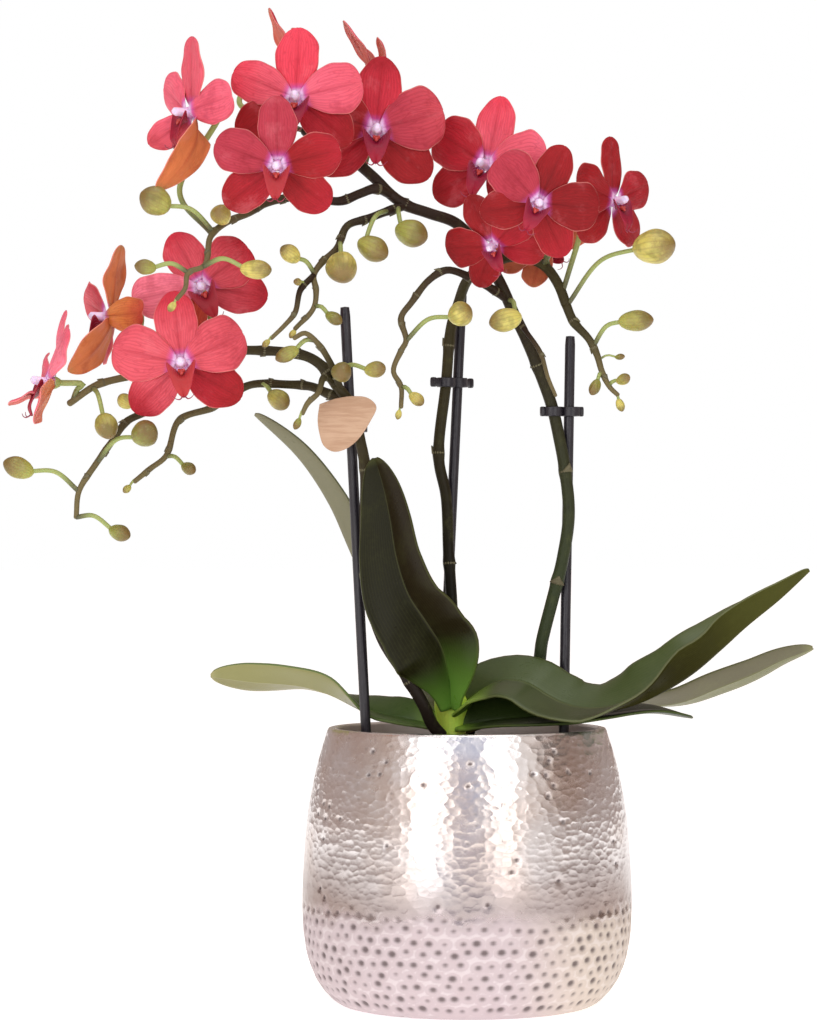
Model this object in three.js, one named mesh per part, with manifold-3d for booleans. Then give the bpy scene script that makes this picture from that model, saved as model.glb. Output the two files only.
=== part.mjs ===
// A potted moth orchid: three flower spikes with fifteen open blooms and many buds, six leaves on one
// crown, bark in a thin grow pot, and a round hammered cover pot.
// Millimetres, +Z up, the front of the plant towards -Y, origin at the centre of the pot's underside.
import * as THREE from 'three';
import { mergeVertices } from 'three/addons/utils/BufferGeometryUtils.js';
import Module from 'manifold-3d';

const wasm = await Module();
wasm.setup();

// Driving dimensions
const POT_HEIGHT = 110;
const POT_WIDEST = 130;
const POT_WIDEST_AT = 45;
const POT_RIM = 110;
const POT_BASE = 96;
const POT_WALL = 4;
const POT_FLOOR = 5;
const POT_SIDES = 30;
const GROW_SIDES = 20;
const GROW_RIM = 94;
const GROW_BASE = 76;
const GROW_HEIGHT = 98;
const GROW_WALL = 1.1;
const BARK_TOP = 100;
const BARK_CHUNKS = 16;
const STAKE_RADIUS = 2;
const STEM_STEP = 17;
const CLEAR = 0.3;
const BLADE = 0.7;
const LEAF_THICKNESS = 1.8;
const CROWN = new THREE.Vector3(-6, 1, 0);
const CROWN_TOP = 125;
const CLIP_HEIGHT = 3.8;
const TAG_THICKNESS = 1.5;

const deg = THREE.MathUtils.degToRad;
const vec = (p) => new THREE.Vector3(...p);
const mix = THREE.MathUtils.lerp;
const { smoothstep } = THREE.MathUtils;

// Seeded draw, so that the bark is the same each time
let seed = 7;
function draw(low = 0, high = 1) {
  seed = (seed * 16807) % 2147483647;
  return mix(low, high, seed / 2147483647);
}

// Closed meshes and solids

function meshOf(points, faces) {
  const geometry = new THREE.BufferGeometry();
  const numbers = points.flatMap((p) => [p.x, p.y, p.z]);
  geometry.setAttribute('position', new THREE.Float32BufferAttribute(numbers, 3));
  geometry.setIndex(faces.flat());
  return geometry;
}

function solidOf(geometry) {
  const bare = new THREE.BufferGeometry();
  bare.setAttribute('position', geometry.getAttribute('position'));
  bare.setIndex(geometry.getIndex());
  const merged = mergeVertices(bare, 1e-4);
  return new wasm.Manifold(new wasm.Mesh({
    numProp: 3,
    vertProperties: new Float32Array(merged.getAttribute('position').array),
    triVerts: new Uint32Array(merged.getIndex().array),
  }));
}

function geometryOf(solid) {
  const mesh = solid.getMesh();
  const geometry = new THREE.BufferGeometry();
  geometry.setAttribute('position', new THREE.BufferAttribute(new Float32Array(mesh.vertProperties), 3));
  geometry.setIndex(new THREE.BufferAttribute(new Uint32Array(mesh.triVerts), 1));
  const faceted = geometry.toNonIndexed();
  faceted.computeVertexNormals();
  return faceted;
}

const join = (solids) => solids.reduce((sum, next) => sum.add(next));

// Joins leave slivers and loose scraps, which are merged and dropped here
function tidy(solid, tolerance = 0.06) {
  const bodies = solid.simplify(tolerance).decompose();
  return bodies.reduce((best, next) => (next.volume() > best.volume() ? next : best));
}

// Rings of points with a point at either end, or a flat cap where the end has none
function loft(rings, start, end) {
  const sides = rings[0].length;
  const points = rings.flat();
  const faces = [];
  for (let i = 0; i + 1 < rings.length; i += 1) {
    for (let j = 0; j < sides; j += 1) {
      const k = (j + 1) % sides;
      const [a, b, c, d] = [i * sides + j, i * sides + k, (i + 1) * sides + k, (i + 1) * sides + j];
      faces.push([a, b, c], [a, c, d]);
    }
  }
  const middle = (ring) => ring.reduce((sum, p) => sum.add(p), new THREE.Vector3()).divideScalar(sides);
  points.push(start ?? middle(rings[0]), end ?? middle(rings.at(-1)));
  const last = (rings.length - 1) * sides;
  for (let j = 0; j < sides; j += 1) {
    const k = (j + 1) % sides;
    faces.push([points.length - 2, k, j], [points.length - 1, last + j, last + k]);
  }
  return meshOf(points, faces);
}

// The centre line of a stem: points at even steps along a smooth curve
function centreLine(route, step) {
  const curve = new THREE.CatmullRomCurve3(route.map(vec), false, 'centripetal');
  const steps = Math.max(2, Math.round(curve.getLength() / step));
  const points = Array.from({ length: steps + 1 }, (_, i) => curve.getPointAt(i / steps));
  return { steps, points, frames: curve.computeFrenetFrames(steps, false) };
}

// A stem along a smooth curve, with a radius at each end
function stem(route, radii, sides = 6, step = STEM_STEP) {
  const { steps, points, frames } = centreLine(route, step);
  const rings = [];
  for (let i = 0; i <= steps; i += 1) {
    const centre = points[i];
    const radius = mix(radii[0], radii[1], i / steps);
    rings.push(Array.from({ length: sides }, (_, j) => {
      const turn = (j / sides) * Math.PI * 2;
      return centre.clone()
        .addScaledVector(frames.normals[i], Math.cos(turn) * radius)
        .addScaledVector(frames.binormals[i], Math.sin(turn) * radius);
    }));
  }
  return solidOf(loft(rings));
}

// A turned shape from [radius, height] pairs that start and end on the axis
function turned(profile, sides) {
  const lathe = new THREE.LatheGeometry(profile.map(([r, z]) => new THREE.Vector2(r, z)), sides);
  lathe.rotateX(Math.PI / 2);
  return solidOf(lathe);
}

// A thin blade from a surface: at(s, t) gives a point for s along it, 0 to 1, and t across it, -1 to 1.
// Both faces are split into triangles alike.
function blade(at, along, across, thickness) {
  const step = 1e-3;
  const top = [];
  const under = [];
  for (let i = 0; i <= along; i += 1) {
    for (let j = 0; j <= across; j += 1) {
      const s = THREE.MathUtils.clamp(i / along, step, 1 - step);
      const t = THREE.MathUtils.clamp((j / across) * 2 - 1, -1 + step, 1 - step);
      const ds = at(s + step, t).sub(at(s - step, t));
      const dt = at(s, t + step).sub(at(s, t - step));
      const normal = dt.cross(ds).normalize();
      const point = at(i / along, (j / across) * 2 - 1);
      top.push(point.clone().addScaledVector(normal, thickness / 2));
      under.push(point.clone().addScaledVector(normal, -thickness / 2));
    }
  }
  const row = across + 1;
  const faces = [];
  for (let i = 0; i < along; i += 1) {
    for (let j = 0; j < across; j += 1) {
      const [a, b, c, d] = [i * row + j, i * row + j + 1, (i + 1) * row + j + 1, (i + 1) * row + j];
      const n = top.length;
      faces.push([a, b, c], [a, c, d], [n + a, n + c, n + b], [n + a, n + d, n + c]);
    }
  }
  const edge = [];
  for (let j = 0; j < across; j += 1) edge.push(j);
  for (let i = 0; i < along; i += 1) edge.push(i * row + across);
  for (let j = across; j > 0; j -= 1) edge.push(along * row + j);
  for (let i = along; i > 0; i -= 1) edge.push(i * row);
  edge.forEach((a, i) => {
    const b = edge[(i + 1) % edge.length];
    const n = top.length;
    faces.push([b, a, n + a], [b, n + a, n + b]);
  });
  return solidOf(meshOf([...top, ...under], faces));
}

// Pot, grow pot and bark

const potOuter = [
  [POT_BASE / 2 - 2.5, 0], [POT_BASE / 2 + 2, 1.2], [55, 5], [60, 12], [63.4, 22], [64.9, 34],
  [POT_WIDEST / 2, POT_WIDEST_AT], [64.3, 60], [62.6, 78], [59, 96], [POT_RIM / 2, POT_HEIGHT - 0.8],
];

function potSolid() {
  const inner = potOuter.filter(([, z], i) => z > 10 && i % 2 === 0).map(([r, z]) => [r - POT_WALL, z]);
  return turned([
    [0, 0], ...potOuter, [POT_RIM / 2 - 1, POT_HEIGHT], [POT_RIM / 2 - POT_WALL + 1, POT_HEIGHT],
    ...inner.reverse(), [48, POT_FLOOR], [0, POT_FLOOR],
  ], POT_SIDES);
}

const growBottom = POT_FLOOR + CLEAR;
const growRadius = (z) => mix(GROW_BASE, GROW_RIM, (z - growBottom) / GROW_HEIGHT) / 2;

function growPotSolid() {
  const top = growBottom + GROW_HEIGHT;
  const lip = 1.6;
  const cup = turned([
    [0, growBottom], [GROW_BASE / 2, growBottom], [growRadius(top - 3), top - 3],
    [growRadius(top) + lip, top - 3], [growRadius(top) + lip, top], [growRadius(top) - GROW_WALL, top],
    [growRadius(growBottom) - GROW_WALL, growBottom + GROW_WALL], [0, growBottom + GROW_WALL],
  ], GROW_SIDES);
  const drain = turned([[0, 0], [3, 0], [3, 4 * GROW_WALL], [0, 4 * GROW_WALL]], 6);
  const drains = [0, 1, 2, 3].map((i) => {
    const turn = (i / 4) * Math.PI * 2;
    return drain.translate([26 * Math.cos(turn), 26 * Math.sin(turn), growBottom - GROW_WALL]);
  });
  return cup.subtract(join(drains));
}

function barkSolid(holes) {
  const floor = growBottom + GROW_WALL + CLEAR;
  const wall = (z) => growRadius(z) - GROW_WALL - CLEAR;
  const parts = [turned([
    [0, floor], [wall(floor) - 0.1, floor], [wall(BARK_TOP - 5) - 0.2, BARK_TOP - 5], [36, BARK_TOP - 2],
    [18, BARK_TOP], [0, BARK_TOP + 1],
  ], GROW_SIDES)];
  for (let i = 0; i < BARK_CHUNKS; i += 1) {
    const reach = 38 * Math.sqrt((i + 0.5) / BARK_CHUNKS);
    const turn = i * 2.39996;
    const chunk = new THREE.BoxGeometry(draw(7, 13), draw(5, 9), draw(3, 5));
    chunk.rotateX(deg(draw(-24, 24)));
    chunk.rotateY(deg(draw(-24, 24)));
    chunk.rotateZ(deg(draw(0, 360)));
    const height = BARK_TOP + 0.6 - 3.6 * (reach / 38) ** 2;
    chunk.translate(reach * Math.cos(turn), reach * Math.sin(turn), height);
    parts.push(solidOf(chunk));
  }
  return join(parts).subtract(join(holes));
}

// Crown with its roots. A positive grow makes the space that it takes in the bark or cuts from a leaf.

const ROOTS = [
  [[-9, -1, 101], [-22, -10, 92], [-24, -16, 70], [-18, -18, 48]],
  [[-1, -2, 101], [12, -14, 90], [16, -20, 66], [10, -16, 44]],
  [[-1, 5, 101], [16, 14, 92], [24, 12, 70], [22, 4, 50]],
  [[-7, 7, 101], [-17, 16, 90], [-24, 16, 68], [-22, 8, 46]],
  [[-4, 2, 96], [-4, 2, 80], [-2, 0, 60], [0, -2, 36]],
];

function crownSolid(grow = 0) {
  const body = turned([
    [0, 92 - grow], [6.5 + grow, 93 - grow], [7.6 + grow, 98], [5.2 + grow, 109], [6.6 + grow, 118],
    [6.2 + grow, 122], [2.6 + grow, CROWN_TOP + grow], [0, CROWN_TOP + 1 + grow],
  ], 10).translate([CROWN.x, CROWN.y, 0]);
  return join([body, ...ROOTS.map((route) => stem(route, [2.6 + grow, 1.8 + grow], 5, 24))]);
}

// Leaves. Each has a midrib route, the way its upper face looks from base to tip, its greatest half
// width, its half width at the base, how far up the base is narrow, how far it is folded along the midrib
// from base to tip, and where it is widest.

const LEAVES = {
  leaf_upright: {
    route: [[-6, -5, 118], [-7, -10, 130], [-10, -15, 142], [-16, -19, 152], [-23, -22, 163],
      [-27.5, -24, 177], [-30, -26, 192], [-32.5, -27, 204], [-36, -28, 216]],
    face: [[-0.2, -1, 0.4], [-0.4, -1, 0.1], [-0.3, -1, 0]],
    half: 22.5, base: 5, neck: 0.31, fold: [46, 34, 30], wide: 0.46,
  },
  leaf_left_high: {
    route: [[-10, 4, 114], [-18, 10, 125], [-29.5, 15, 144], [-38, 18, 162], [-47, 20, 183],
      [-54.3, 21, 199], [-66.5, 21, 217], [-84.5, 20, 234]],
    face: [[0.5, -0.3, 0.6], [0.9, 0.15, 0.4], [0.7, 0.2, 0.8]],
    half: 15, base: 5, neck: 0.15, fold: [50, 24, 16], wide: 0.9,
  },
  leaf_left_low: {
    route: [[-10, 2, 109], [-19, 5, 111.5], [-27, 7, 113], [-35, 9, 114.3], [-42, 11, 117.2], [-54, 14, 123],
      [-66, 16, 126.4], [-86, 19, 127.8], [-102, 20, 129.5]],
    face: [[0, -0.8, 0.8], [0, -0.7, 0.9], [0, -0.4, 1], [0, 0, 1], [0, 0.27, 1], [0, 0.34, 1], [0, 0.5, 1],
      [0, 0.6, 1], [0, 0.6, 1]],
    half: 16, base: 5, neck: 0.1, fold: [40, 18, 10, 8, 6], wide: 1.15,
  },
  leaf_right_high: {
    route: [[-3, 0, 115], [4, -4, 123], [13, -8, 128.3], [23, -12, 127.5], [31, -15, 122.8], [38, -18, 119.4],
      [46, -20, 117.9], [54, -22, 118.3], [65, -24, 121], [77, -24.5, 126.5], [88, -24, 133.5],
      [98.5, -21, 142.2], [108.5, -18.5, 151], [122, -15, 161.5], [134, -11, 172]],
    face: [[0, -0.54, 0.84], [0, -0.54, 0.84], [0, -0.41, 0.91], [0, -0.32, 0.95], [0, -0.26, 0.95],
      [0, -0.05, 0.98], [0, 0.06, 0.98], [0, 0.14, 0.98], [0, 0.2, 0.98]],
    half: 19.5, base: 6, neck: 0.02, fold: [45, 10, 6, 8, 28, 46, 44, 36, 25], wide: 0.88,
  },
  leaf_right_middle: {
    route: [[-2, 4, 108], [18, 16, 113], [42, 26, 116.5], [64, 28, 117.5], [85, 27, 119], [101, 25, 125],
      [115, 23, 130.6], [126, 21, 136], [138.4, 19, 140.6]],
    face: [[0, -0.2, 1], [0, 0, 1], [0, 0.1, 1], [-0.1, 0.35, 1], [-0.2, 0.6, 0.95], [-0.2, 0.65, 0.95]],
    half: 11, base: 5, neck: 0.08, fold: [36, 12, 8], wide: 1.4,
  },
  leaf_right_low: {
    route: [[-3, -1, 110], [14, -9, 113], [32, -15, 114.5], [54, -16, 115.5], [72, -15, 117],
      [88, -12, 114.5]],
    face: [[0, -0.8, 0.8], [0, -0.6, 0.9], [0, -0.35, 1], [0, -0.1, 1], [0, -0.1, 1]],
    half: 13.5, base: 5, neck: 0.06, fold: [36, 10, 8], wide: 0.8,
  },
};

// The value at a share s of the way along an evenly spaced list
function along(values, s) {
  const place = s * (values.length - 1);
  const i = Math.min(Math.floor(place), values.length - 2);
  return mix(values[i], values[i + 1], place - i);
}

function leafSurface(leaf, extra = 0) {
  const curve = new THREE.CatmullRomCurve3(leaf.route.map(vec), false, 'centripetal');
  const face = new THREE.CatmullRomCurve3(leaf.face.map(vec));
  return (s, t) => {
    const point = curve.getPointAt(s);
    const tangent = curve.getTangentAt(s);
    const up = face.getPoint(s).projectOnPlane(tangent).normalize();
    const side = tangent.clone().cross(up);
    const blunt = mix(0.7, 0.48, smoothstep(s, 0.5, 1));
    const swell = Math.sin(Math.PI * Math.pow(mix(0.002, 0.998, s), leaf.wide)) ** blunt
      * smoothstep(s, -0.2 * leaf.neck, leaf.neck);
    const half = leaf.half * swell + leaf.base * (1 - s) ** 6 + extra;
    const fold = deg(along(leaf.fold, s));
    const across = Math.abs(t) * half;
    point.addScaledVector(side, Math.sign(t) * across * Math.cos(fold));
    return point.addScaledVector(up, across * Math.sin(fold));
  };
}

const leafSolid = (leaf) => blade(leafSurface(leaf), 10, 4, LEAF_THICKNESS);
const leafSpace = (leaf) => blade(leafSurface(leaf, 2 * CLEAR), 10, 4, LEAF_THICKNESS + 4 * CLEAR);

// Spikes: a main stem and its branches as routes, then buds as [centre, root, length, width] and, where a
// bud doesn't point away from its root, the way it points

const SPIKES = {
  spike_left: {
    stems: [
      { radii: [2.5, 2.1], route: [[-10, -8, 107], [-14, -11, 112], [-17, -14, 119], [-24, -16, 131],
        [-33, -16, 145], [-38, -16, 161], [-40, -16, 184], [-40, -19, 212], [-42, -20.5, 223],
        [-45, -22, 236], [-51, -24, 244]] },
      { radii: [2.1, 1.3], route: [[-51, -24, 244], [-57, -24, 252], [-64, -23, 256], [-85, -22, 258],
        [-98, -23, 257], [-112, -25, 253], [-130, -28, 248], [-144, -32, 244], [-154, -35, 237]] },
      { radii: [1.9, 1.0], route: [[-47, -23, 239], [-54, -20, 241], [-61, -16, 244], [-71, -12, 245],
        [-85, -8, 245], [-93, -8, 241], [-100, -10, 236], [-113, -12, 231], [-118, -14, 217],
        [-124, -16, 212], [-130, -18, 207]] },
      { radii: [1.7, 1.0], route: [[-112, -25, 253], [-117, -28, 244], [-123, -31, 235], [-132, -34, 230],
        [-137, -36, 223], [-144, -38, 213], [-150, -40, 203], [-151, -41, 193]] },
      { radii: [1.5, 0.9], route: [[-49, -24, 242], [-53, -30, 252], [-58, -34, 260], [-63, -37, 264],
        [-67, -40, 262]] },
      { radii: [1.4, 0.9], route: [[-52, -24, 246], [-56, -31, 247], [-58, -35, 241], [-62, -37, 237],
        [-64, -38, 233]] },
    ],
    buds: [
      [[-173, -43, 212], [-150, -40, 203], 12.5, 8.5], [[-134, -45, 187], [-151, -41, 193], 9, 6.5],
      [[-124, -52, 225], [-143, -38, 214], 11, 10.5], [[-139, -46, 228], [-145, -33, 242], 12, 9],
      [[-133, -26, 238], [-126, -32, 234], 8, 6], [[-109, -18, 212], [-118, -14, 217], 6.5, 5],
      [[-133, -19, 204], [-129, -18, 208], 4, 3], [[-74, -14, 239], [-82, -8, 245], 10.5, 8],
      [[-70, -35, 256], [-60, -34, 261], 10, 6], [[-49, -37, 249], [-52, -31, 247], 8.5, 8],
      [[-36, -38, 250], [-50, -29, 248], 9.5, 6.5], [[-66, -39, 229], [-63, -38, 235], 5, 3],
    ],
  },
  spike_middle: {
    stems: [
      { radii: [2.4, 2.0], route: [[1, 9, 107], [0, 14, 117], [-3, 18, 132], [-5, 20, 146],
        [-6, 20.5, 162], [-7, 22, 178], [-8, 24, 201], [-11, 24.5, 217], [-8, 25, 247], [-6, 26, 269],
        [-3, 27, 279], [0, 22, 287], [5, 15, 292], [10, 12, 294], [16, 9, 296], [23, 5, 296],
        [31, 2, 292], [36, 0, 285], [39, -2, 277]] },
      { radii: [1.9, 0.9], route: [[39, -2, 277], [42, -3, 270], [48, -5, 263], [51, -6, 257],
        [53, -8, 250], [56, -9, 244], [59, -10, 241]] },
    ],
    buds: [
      [[73, -14, 299], [41, -2, 277], 17.5, 14, [0.9, -0.35, 0.1]],
      [[66, -12, 270], [51, -6, 261], 14, 8.5, [1, -0.1, 0.05]],
      [[50, -11, 244], [53, -8, 250], 7.5, 4.5], [[61, -13, 247], [56, -9, 245], 6.5, 4.5],
      [[60, -10, 237], [58, -10, 241], 5.5, 3.5], [[60, -8, 256], [53, -6, 255], 4, 2.5],
    ],
  },
  spike_right: {
    stems: [
      { radii: [2.6, 2.1], route: [[3, 6, 111], [11, 10, 117], [20, 12, 124], [28, 11, 133], [30, 9, 144],
        [34, 8, 160], [38, 7, 176], [40.5, 7, 194], [39, 9, 212], [36.5, 11, 226], [34, 12, 237],
        [29, 12, 251], [23.5, 9, 264], [18.5, 6, 274], [13, 4, 286], [5, 3, 299], [-4, 2, 309],
        [-15, 0, 313], [-24, -2, 316], [-30, -4, 320], [-36, -5, 326], [-45, -2, 334], [-54, 2, 341],
        [-64, 6, 346]] },
      { radii: [1.7, 0.9], route: [[16, 5, 279], [10, 0, 283], [2, -5, 287], [-8, -9, 290],
        [-15, -11, 286], [-22, -13, 277], [-26, -14, 271], [-24, -16, 262], [-26, -17, 258],
        [-29, -18, 250], [-26, -19, 244], [-26, -20, 236]] },
      { radii: [1.8, 0.9], route: [[-24, -2, 316], [-32, -8, 313], [-39, -12, 310], [-47, -15, 307],
        [-51, -19, 298], [-57, -22, 292], [-60, -24, 287], [-59, -26, 281], [-60, -28, 274],
        [-67, -31, 266]] },
      { radii: [1.3, 0.8], route: [[-60, -24, 287], [-65, -30, 281], [-67, -34, 272], [-71, -36, 267],
        [-76, -38, 262]] },
      { radii: [1.9, 0.9], route: [[-30, -4, 320], [-36, -9, 322], [-42, -10, 320], [-50, -10, 317],
        [-60, -12, 318], [-69, -16, 318], [-79, -22, 315], [-85, -28, 311], [-93, -36, 307],
        [-99, -44, 301], [-101, -55, 289], [-107, -58, 286], [-108, -60, 280], [-111, -61, 276]] },
      { radii: [1.1, 0.7], route: [[18, 6, 274], [23, 3, 267], [29, 0, 258], [32, -1, 248], [35, 0, 241]] },
    ],
    buds: [
      [[-120, -50, 314], [-98, -42, 303], 13, 11.5], [[-95, -45, 309], [-93, -36, 307], 11, 8],
      [[-123, -62, 288], [-107, -58, 286], 8.5, 6], [[-81, -64, 287], [-102, -56, 289], 13, 7.5],
      [[-69, -30, 295], [-60, -24, 288], 9.5, 7], [[-66, -33, 284], [-63, -28, 283], 4, 3],
      [[-52, -32, 270], [-60, -28, 275], 8, 5], [[-49, -28, 290], [-50, -18, 300], 13.5, 12.5],
      [[-37, -24, 297.5], [-30, -7, 314], 13.5, 10, [0.9, -0.3, -0.5]],
      [[-22, -17, 304], [-27, -4, 315], 13.5, 11, [1, -0.2, -0.35]],
      [[-3, -26, 272], [-24, -16, 262], 10, 10], [[-20, -23, 239], [-26, -19, 244], 7.5, 5],
      [[15, -8, 270.5], [19, 3, 279], 13.5, 9.5, [-1, -0.2, -0.25]], [[-27, -20, 233], [-26, -20, 237], 4, 2.6],
      [[-78, -39, 260], [-75, -38, 263], 4, 2.6], [[-68, -31, 264], [-66, -31, 267], 4, 2.6],
      [[-113, -61, 273], [-110, -61, 277], 4.5, 3],
    ],
  },
};

// Blooms: centre, turn from the front about Z, tilt above level, roll clockwise, size, spike and the root
// of its stalk, which may go by a point. Where a bloom's tepals aren't alike, lean gives how far each
// leans forward, twist how far it turns about its own length, bow how far its tip comes forward, swing
// how far it lies from its usual angle, and slim and stretch its share of the usual width and length.
// Their order is dorsal sepal, right and left sepal, right and left petal.
const BLOOMS = [
  { at: [-107, -30, 350], turn: -64, tilt: -4, roll: 3, size: 0.98, spike: 'spike_right',
    root: [-100, -43, 302], via: [-112, -27, 320], lean: [0, -4, 36, -20, 4],
    twist: [-5, -70, 50, 0, 0], bow: [0, 27, 4, 0, 0], swing: [3, 24, -12, 4, 4],
    slim: [1.1, 1.15, 0.7, 0.85, 0.85], stretch: [1.1, 1.2, 0.8, 0.95, 0.95] },
  { at: [-67, -22, 356], turn: -3, tilt: 4, roll: 3, size: 1.02, spike: 'spike_right',
    root: [-54, 2, 341], slim: [1.1, 1, 1, 0.94, 0.8] },
  { at: [-73, -57, 327], turn: -3, tilt: -8, roll: 2, size: 0.94, spike: 'spike_right',
    root: [-62, -12, 318], slim: [1, 1, 1, 0.87, 0.87] },
  { at: [-36, -8, 345], turn: 5, tilt: 0, roll: 3, size: 1.04, spike: 'spike_right', root: [-40, -4, 330],
    slim: [1.1, 1, 1, 1.12, 1] },
  { at: [-69.5, 34, 371], turn: 100, tilt: 5, roll: 0, size: 1.04, spike: 'spike_right',
    root: [-63, 5, 345], via: [-90, 12, 357], lean: [-13, 0, -40, 0, 0] },
  { at: [-36.5, 36, 369], turn: 98, tilt: 5, roll: 0, size: 1, spike: 'spike_right',
    root: [-45, -2, 334], lean: [-18, 0, 0, 0, 0] },
  { at: [-103.5, -26, 283], turn: 0, tilt: -8, roll: -26, size: 0.98, spike: 'spike_left',
    root: [-98, -23, 257], swing: [-4, 0, 0, 8, -6], slim: [1.05, 1, 1, 1, 0.82],
    stretch: [0.82, 1, 1, 0.92, 1.1] },
  { at: [-110, -50, 252], turn: 0, tilt: 0, roll: -6, size: 1.01, spike: 'spike_left',
    root: [-86, -22, 258] },
  { at: [-139, -26, 271], turn: -100, tilt: -2, roll: 0, size: 1, spike: 'spike_left',
    root: [-130, -28, 248], lean: [-5, 4, 6, -46, 36], twist: [14, 0, 0, 0, 0], bow: [0, 15, 6, 0, 0],
    swing: [0, 16, 0, 18, 0], slim: [1, 1, 1, 0.66, 0.9] },
  { at: [-160.5, -37, 245], turn: -76, tilt: 3, roll: -3, size: 1, spike: 'spike_left',
    root: [-153, -34, 238], lean: [0, 26, 24, -6, 0], twist: [0, 0, -12, 0, 0], swing: [4, 0, 0, -34, 0],
    slim: [0.85, 0.9, 0.8, 0.7, 0.7], stretch: [1, 1, 0.78, 1, 1] },
  { at: [8, 0, 332], turn: -25, tilt: 2, roll: 12, size: 1, spike: 'spike_middle', root: [14, 10, 295],
    slim: [1.1, 1, 1, 1.08, 1.08] },
  { at: [27, -41, 314], turn: 0, tilt: -6, roll: 26, size: 0.88, spike: 'spike_middle', root: [30, 2, 293],
    via: [34, -16, 303], slim: [1.05, 1, 1, 1.05, 1] },
  { at: [57, -10, 317], turn: 48, tilt: 0, roll: -2, size: 0.9, spike: 'spike_middle',
    root: [38, -1, 281], slim: [0.95, 1, 1, 0.78, 1] },
  { at: [10, -26, 299], turn: -20, tilt: -24, roll: -24, size: 0.76, spike: 'spike_middle',
    root: [18, 8, 296] },
  { at: [30, 14, 303], turn: 160, tilt: -24, roll: 50, size: 0.78, spike: 'spike_middle',
    root: [33, 1, 290] },
];

// A tepal's outline and bow, in the bloom's own frame: x right, y up, z towards the viewer
const TEPAL_ROOT = 1.9;
const TEPALS = [
  { angle: 0, length: 26, half: 8, layer: -0.3, swell: [0.7, 0.55], bow: -2.4, cup: 0.6 },
  { angle: 128, length: 25, half: 8.6, layer: -0.3, swell: [0.7, 0.55], bow: -1.6, cup: 0.6 },
  { angle: -128, length: 25, half: 8.6, layer: -0.3, swell: [0.7, 0.55], bow: -1.6, cup: 0.6 },
  { angle: 71, length: 24.5, half: 10.8, layer: 2.2, swell: [0.75, 0.42], bow: -1.2, cup: -0.8 },
  { angle: -71, length: 24.5, half: 10.8, layer: 2.2, swell: [0.75, 0.42], bow: -1.2, cup: -0.8 },
];

const PLAIN_TEPAL = { lean: 0, twist: 0, bow: 0, swing: 0, slim: 1, stretch: 1 };

function tepalSurface(tepal, { lean, twist, bow, swing, slim, stretch }) {
  const [rise, fall] = tepal.swell;
  const peak = (rise / (rise + fall)) ** rise * (fall / (rise + fall)) ** fall;
  const inPlane = new THREE.Matrix4().makeRotationZ(-deg(tepal.angle + swing));
  const forward = new THREE.Matrix4().makeRotationX(deg(lean));
  return (s, t) => {
    const reach = Math.sin((s * Math.PI) / 2) ** 1.1;
    const swell = (mix(0.02, 0.985, reach) ** rise * (1 - mix(0.02, 0.985, reach)) ** fall) / peak;
    const half = Math.max(tepal.half * slim * swell, 1.1 * (1 - reach));
    const turn = deg(twist * Math.min(1, reach * 2.5));
    const cup = tepal.cup * t * t * swell;
    const point = new THREE.Vector3(t * half * Math.cos(turn) - cup * Math.sin(turn),
      tepal.length * stretch * reach,
      t * half * Math.sin(turn) + cup * Math.cos(turn) + (tepal.bow + bow) * reach * reach);
    point.applyMatrix4(forward);
    point.y += TEPAL_ROOT;
    point.z += tepal.layer * (1 - 0.3 * reach);
    return point.applyMatrix4(inPlane);
  };
}

// The column stands on the flower's base: height y, depth z and radius along it
const COLUMN = [[0, -3, 1.5], [0, -0.6, 2.7], [0, 3.2, 2.3], [0.4, 7.2, 2]];

function bloomSolid(bloom) {
  const column = solidOf(loft(COLUMN.map(([y, z, r]) => ring(5, r, [0, y, z]))));
  const tepals = TEPALS.map((tepal, i) => {
    const own = Object.entries(PLAIN_TEPAL).map(([key, plain]) => [key, bloom[key]?.[i] ?? plain]);
    return blade(tepalSurface(tepal, Object.fromEntries(own)), tepal.half > 10 ? 4 : 3, 2, BLADE);
  });
  return tidy(join([column, ...tepals]));
}

function ring(sides, radius, [x, y, z]) {
  return Array.from({ length: sides }, (_, j) => {
    const turn = (j / sides) * Math.PI * 2;
    return new THREE.Vector3(x + radius * Math.cos(turn), y + radius * Math.sin(turn), z);
  });
}

// The lip is one blade: narrow at its base, two side lobes that stand up beside the column, and a
// tongue that comes forward and hangs
const LIP_MIDRIB = [[0, -3.5, 2.4], [0, -4.7, 4.6], [0, -7, 7.4], [0, -10, 8.6], [0, -13.4, 7.6]];

function lipSolid() {
  const midrib = new THREE.CatmullRomCurve3(LIP_MIDRIB.map(vec));
  return blade((s, t) => {
    const half = 0.7 + 3.2 * Math.sin(Math.PI * s ** 0.85) ** 0.8;
    const lobe = Math.exp(-(((s - 0.3) / 0.17) ** 2));
    const rise = 5.6 * lobe * Math.abs(t) ** 1.7;
    return midrib.getPoint(s).add(new THREE.Vector3(t * half * (1 - 0.12 * lobe), rise, 0));
  }, 3, 4, BLADE);
}

function placeBloom({ at, turn, tilt, roll, size }) {
  const [a, e] = [deg(turn), deg(tilt)];
  const face = new THREE.Vector3(Math.sin(a) * Math.cos(e), -Math.cos(a) * Math.cos(e), Math.sin(e));
  const right = new THREE.Vector3(Math.cos(a), Math.sin(a), 0);
  const up = face.clone().cross(right);
  return new THREE.Matrix4().makeBasis(right, up, face)
    .multiply(new THREE.Matrix4().makeRotationZ(deg(-roll)))
    .scale(new THREE.Vector3(size, size, size))
    .setPosition(vec(at));
}

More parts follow.
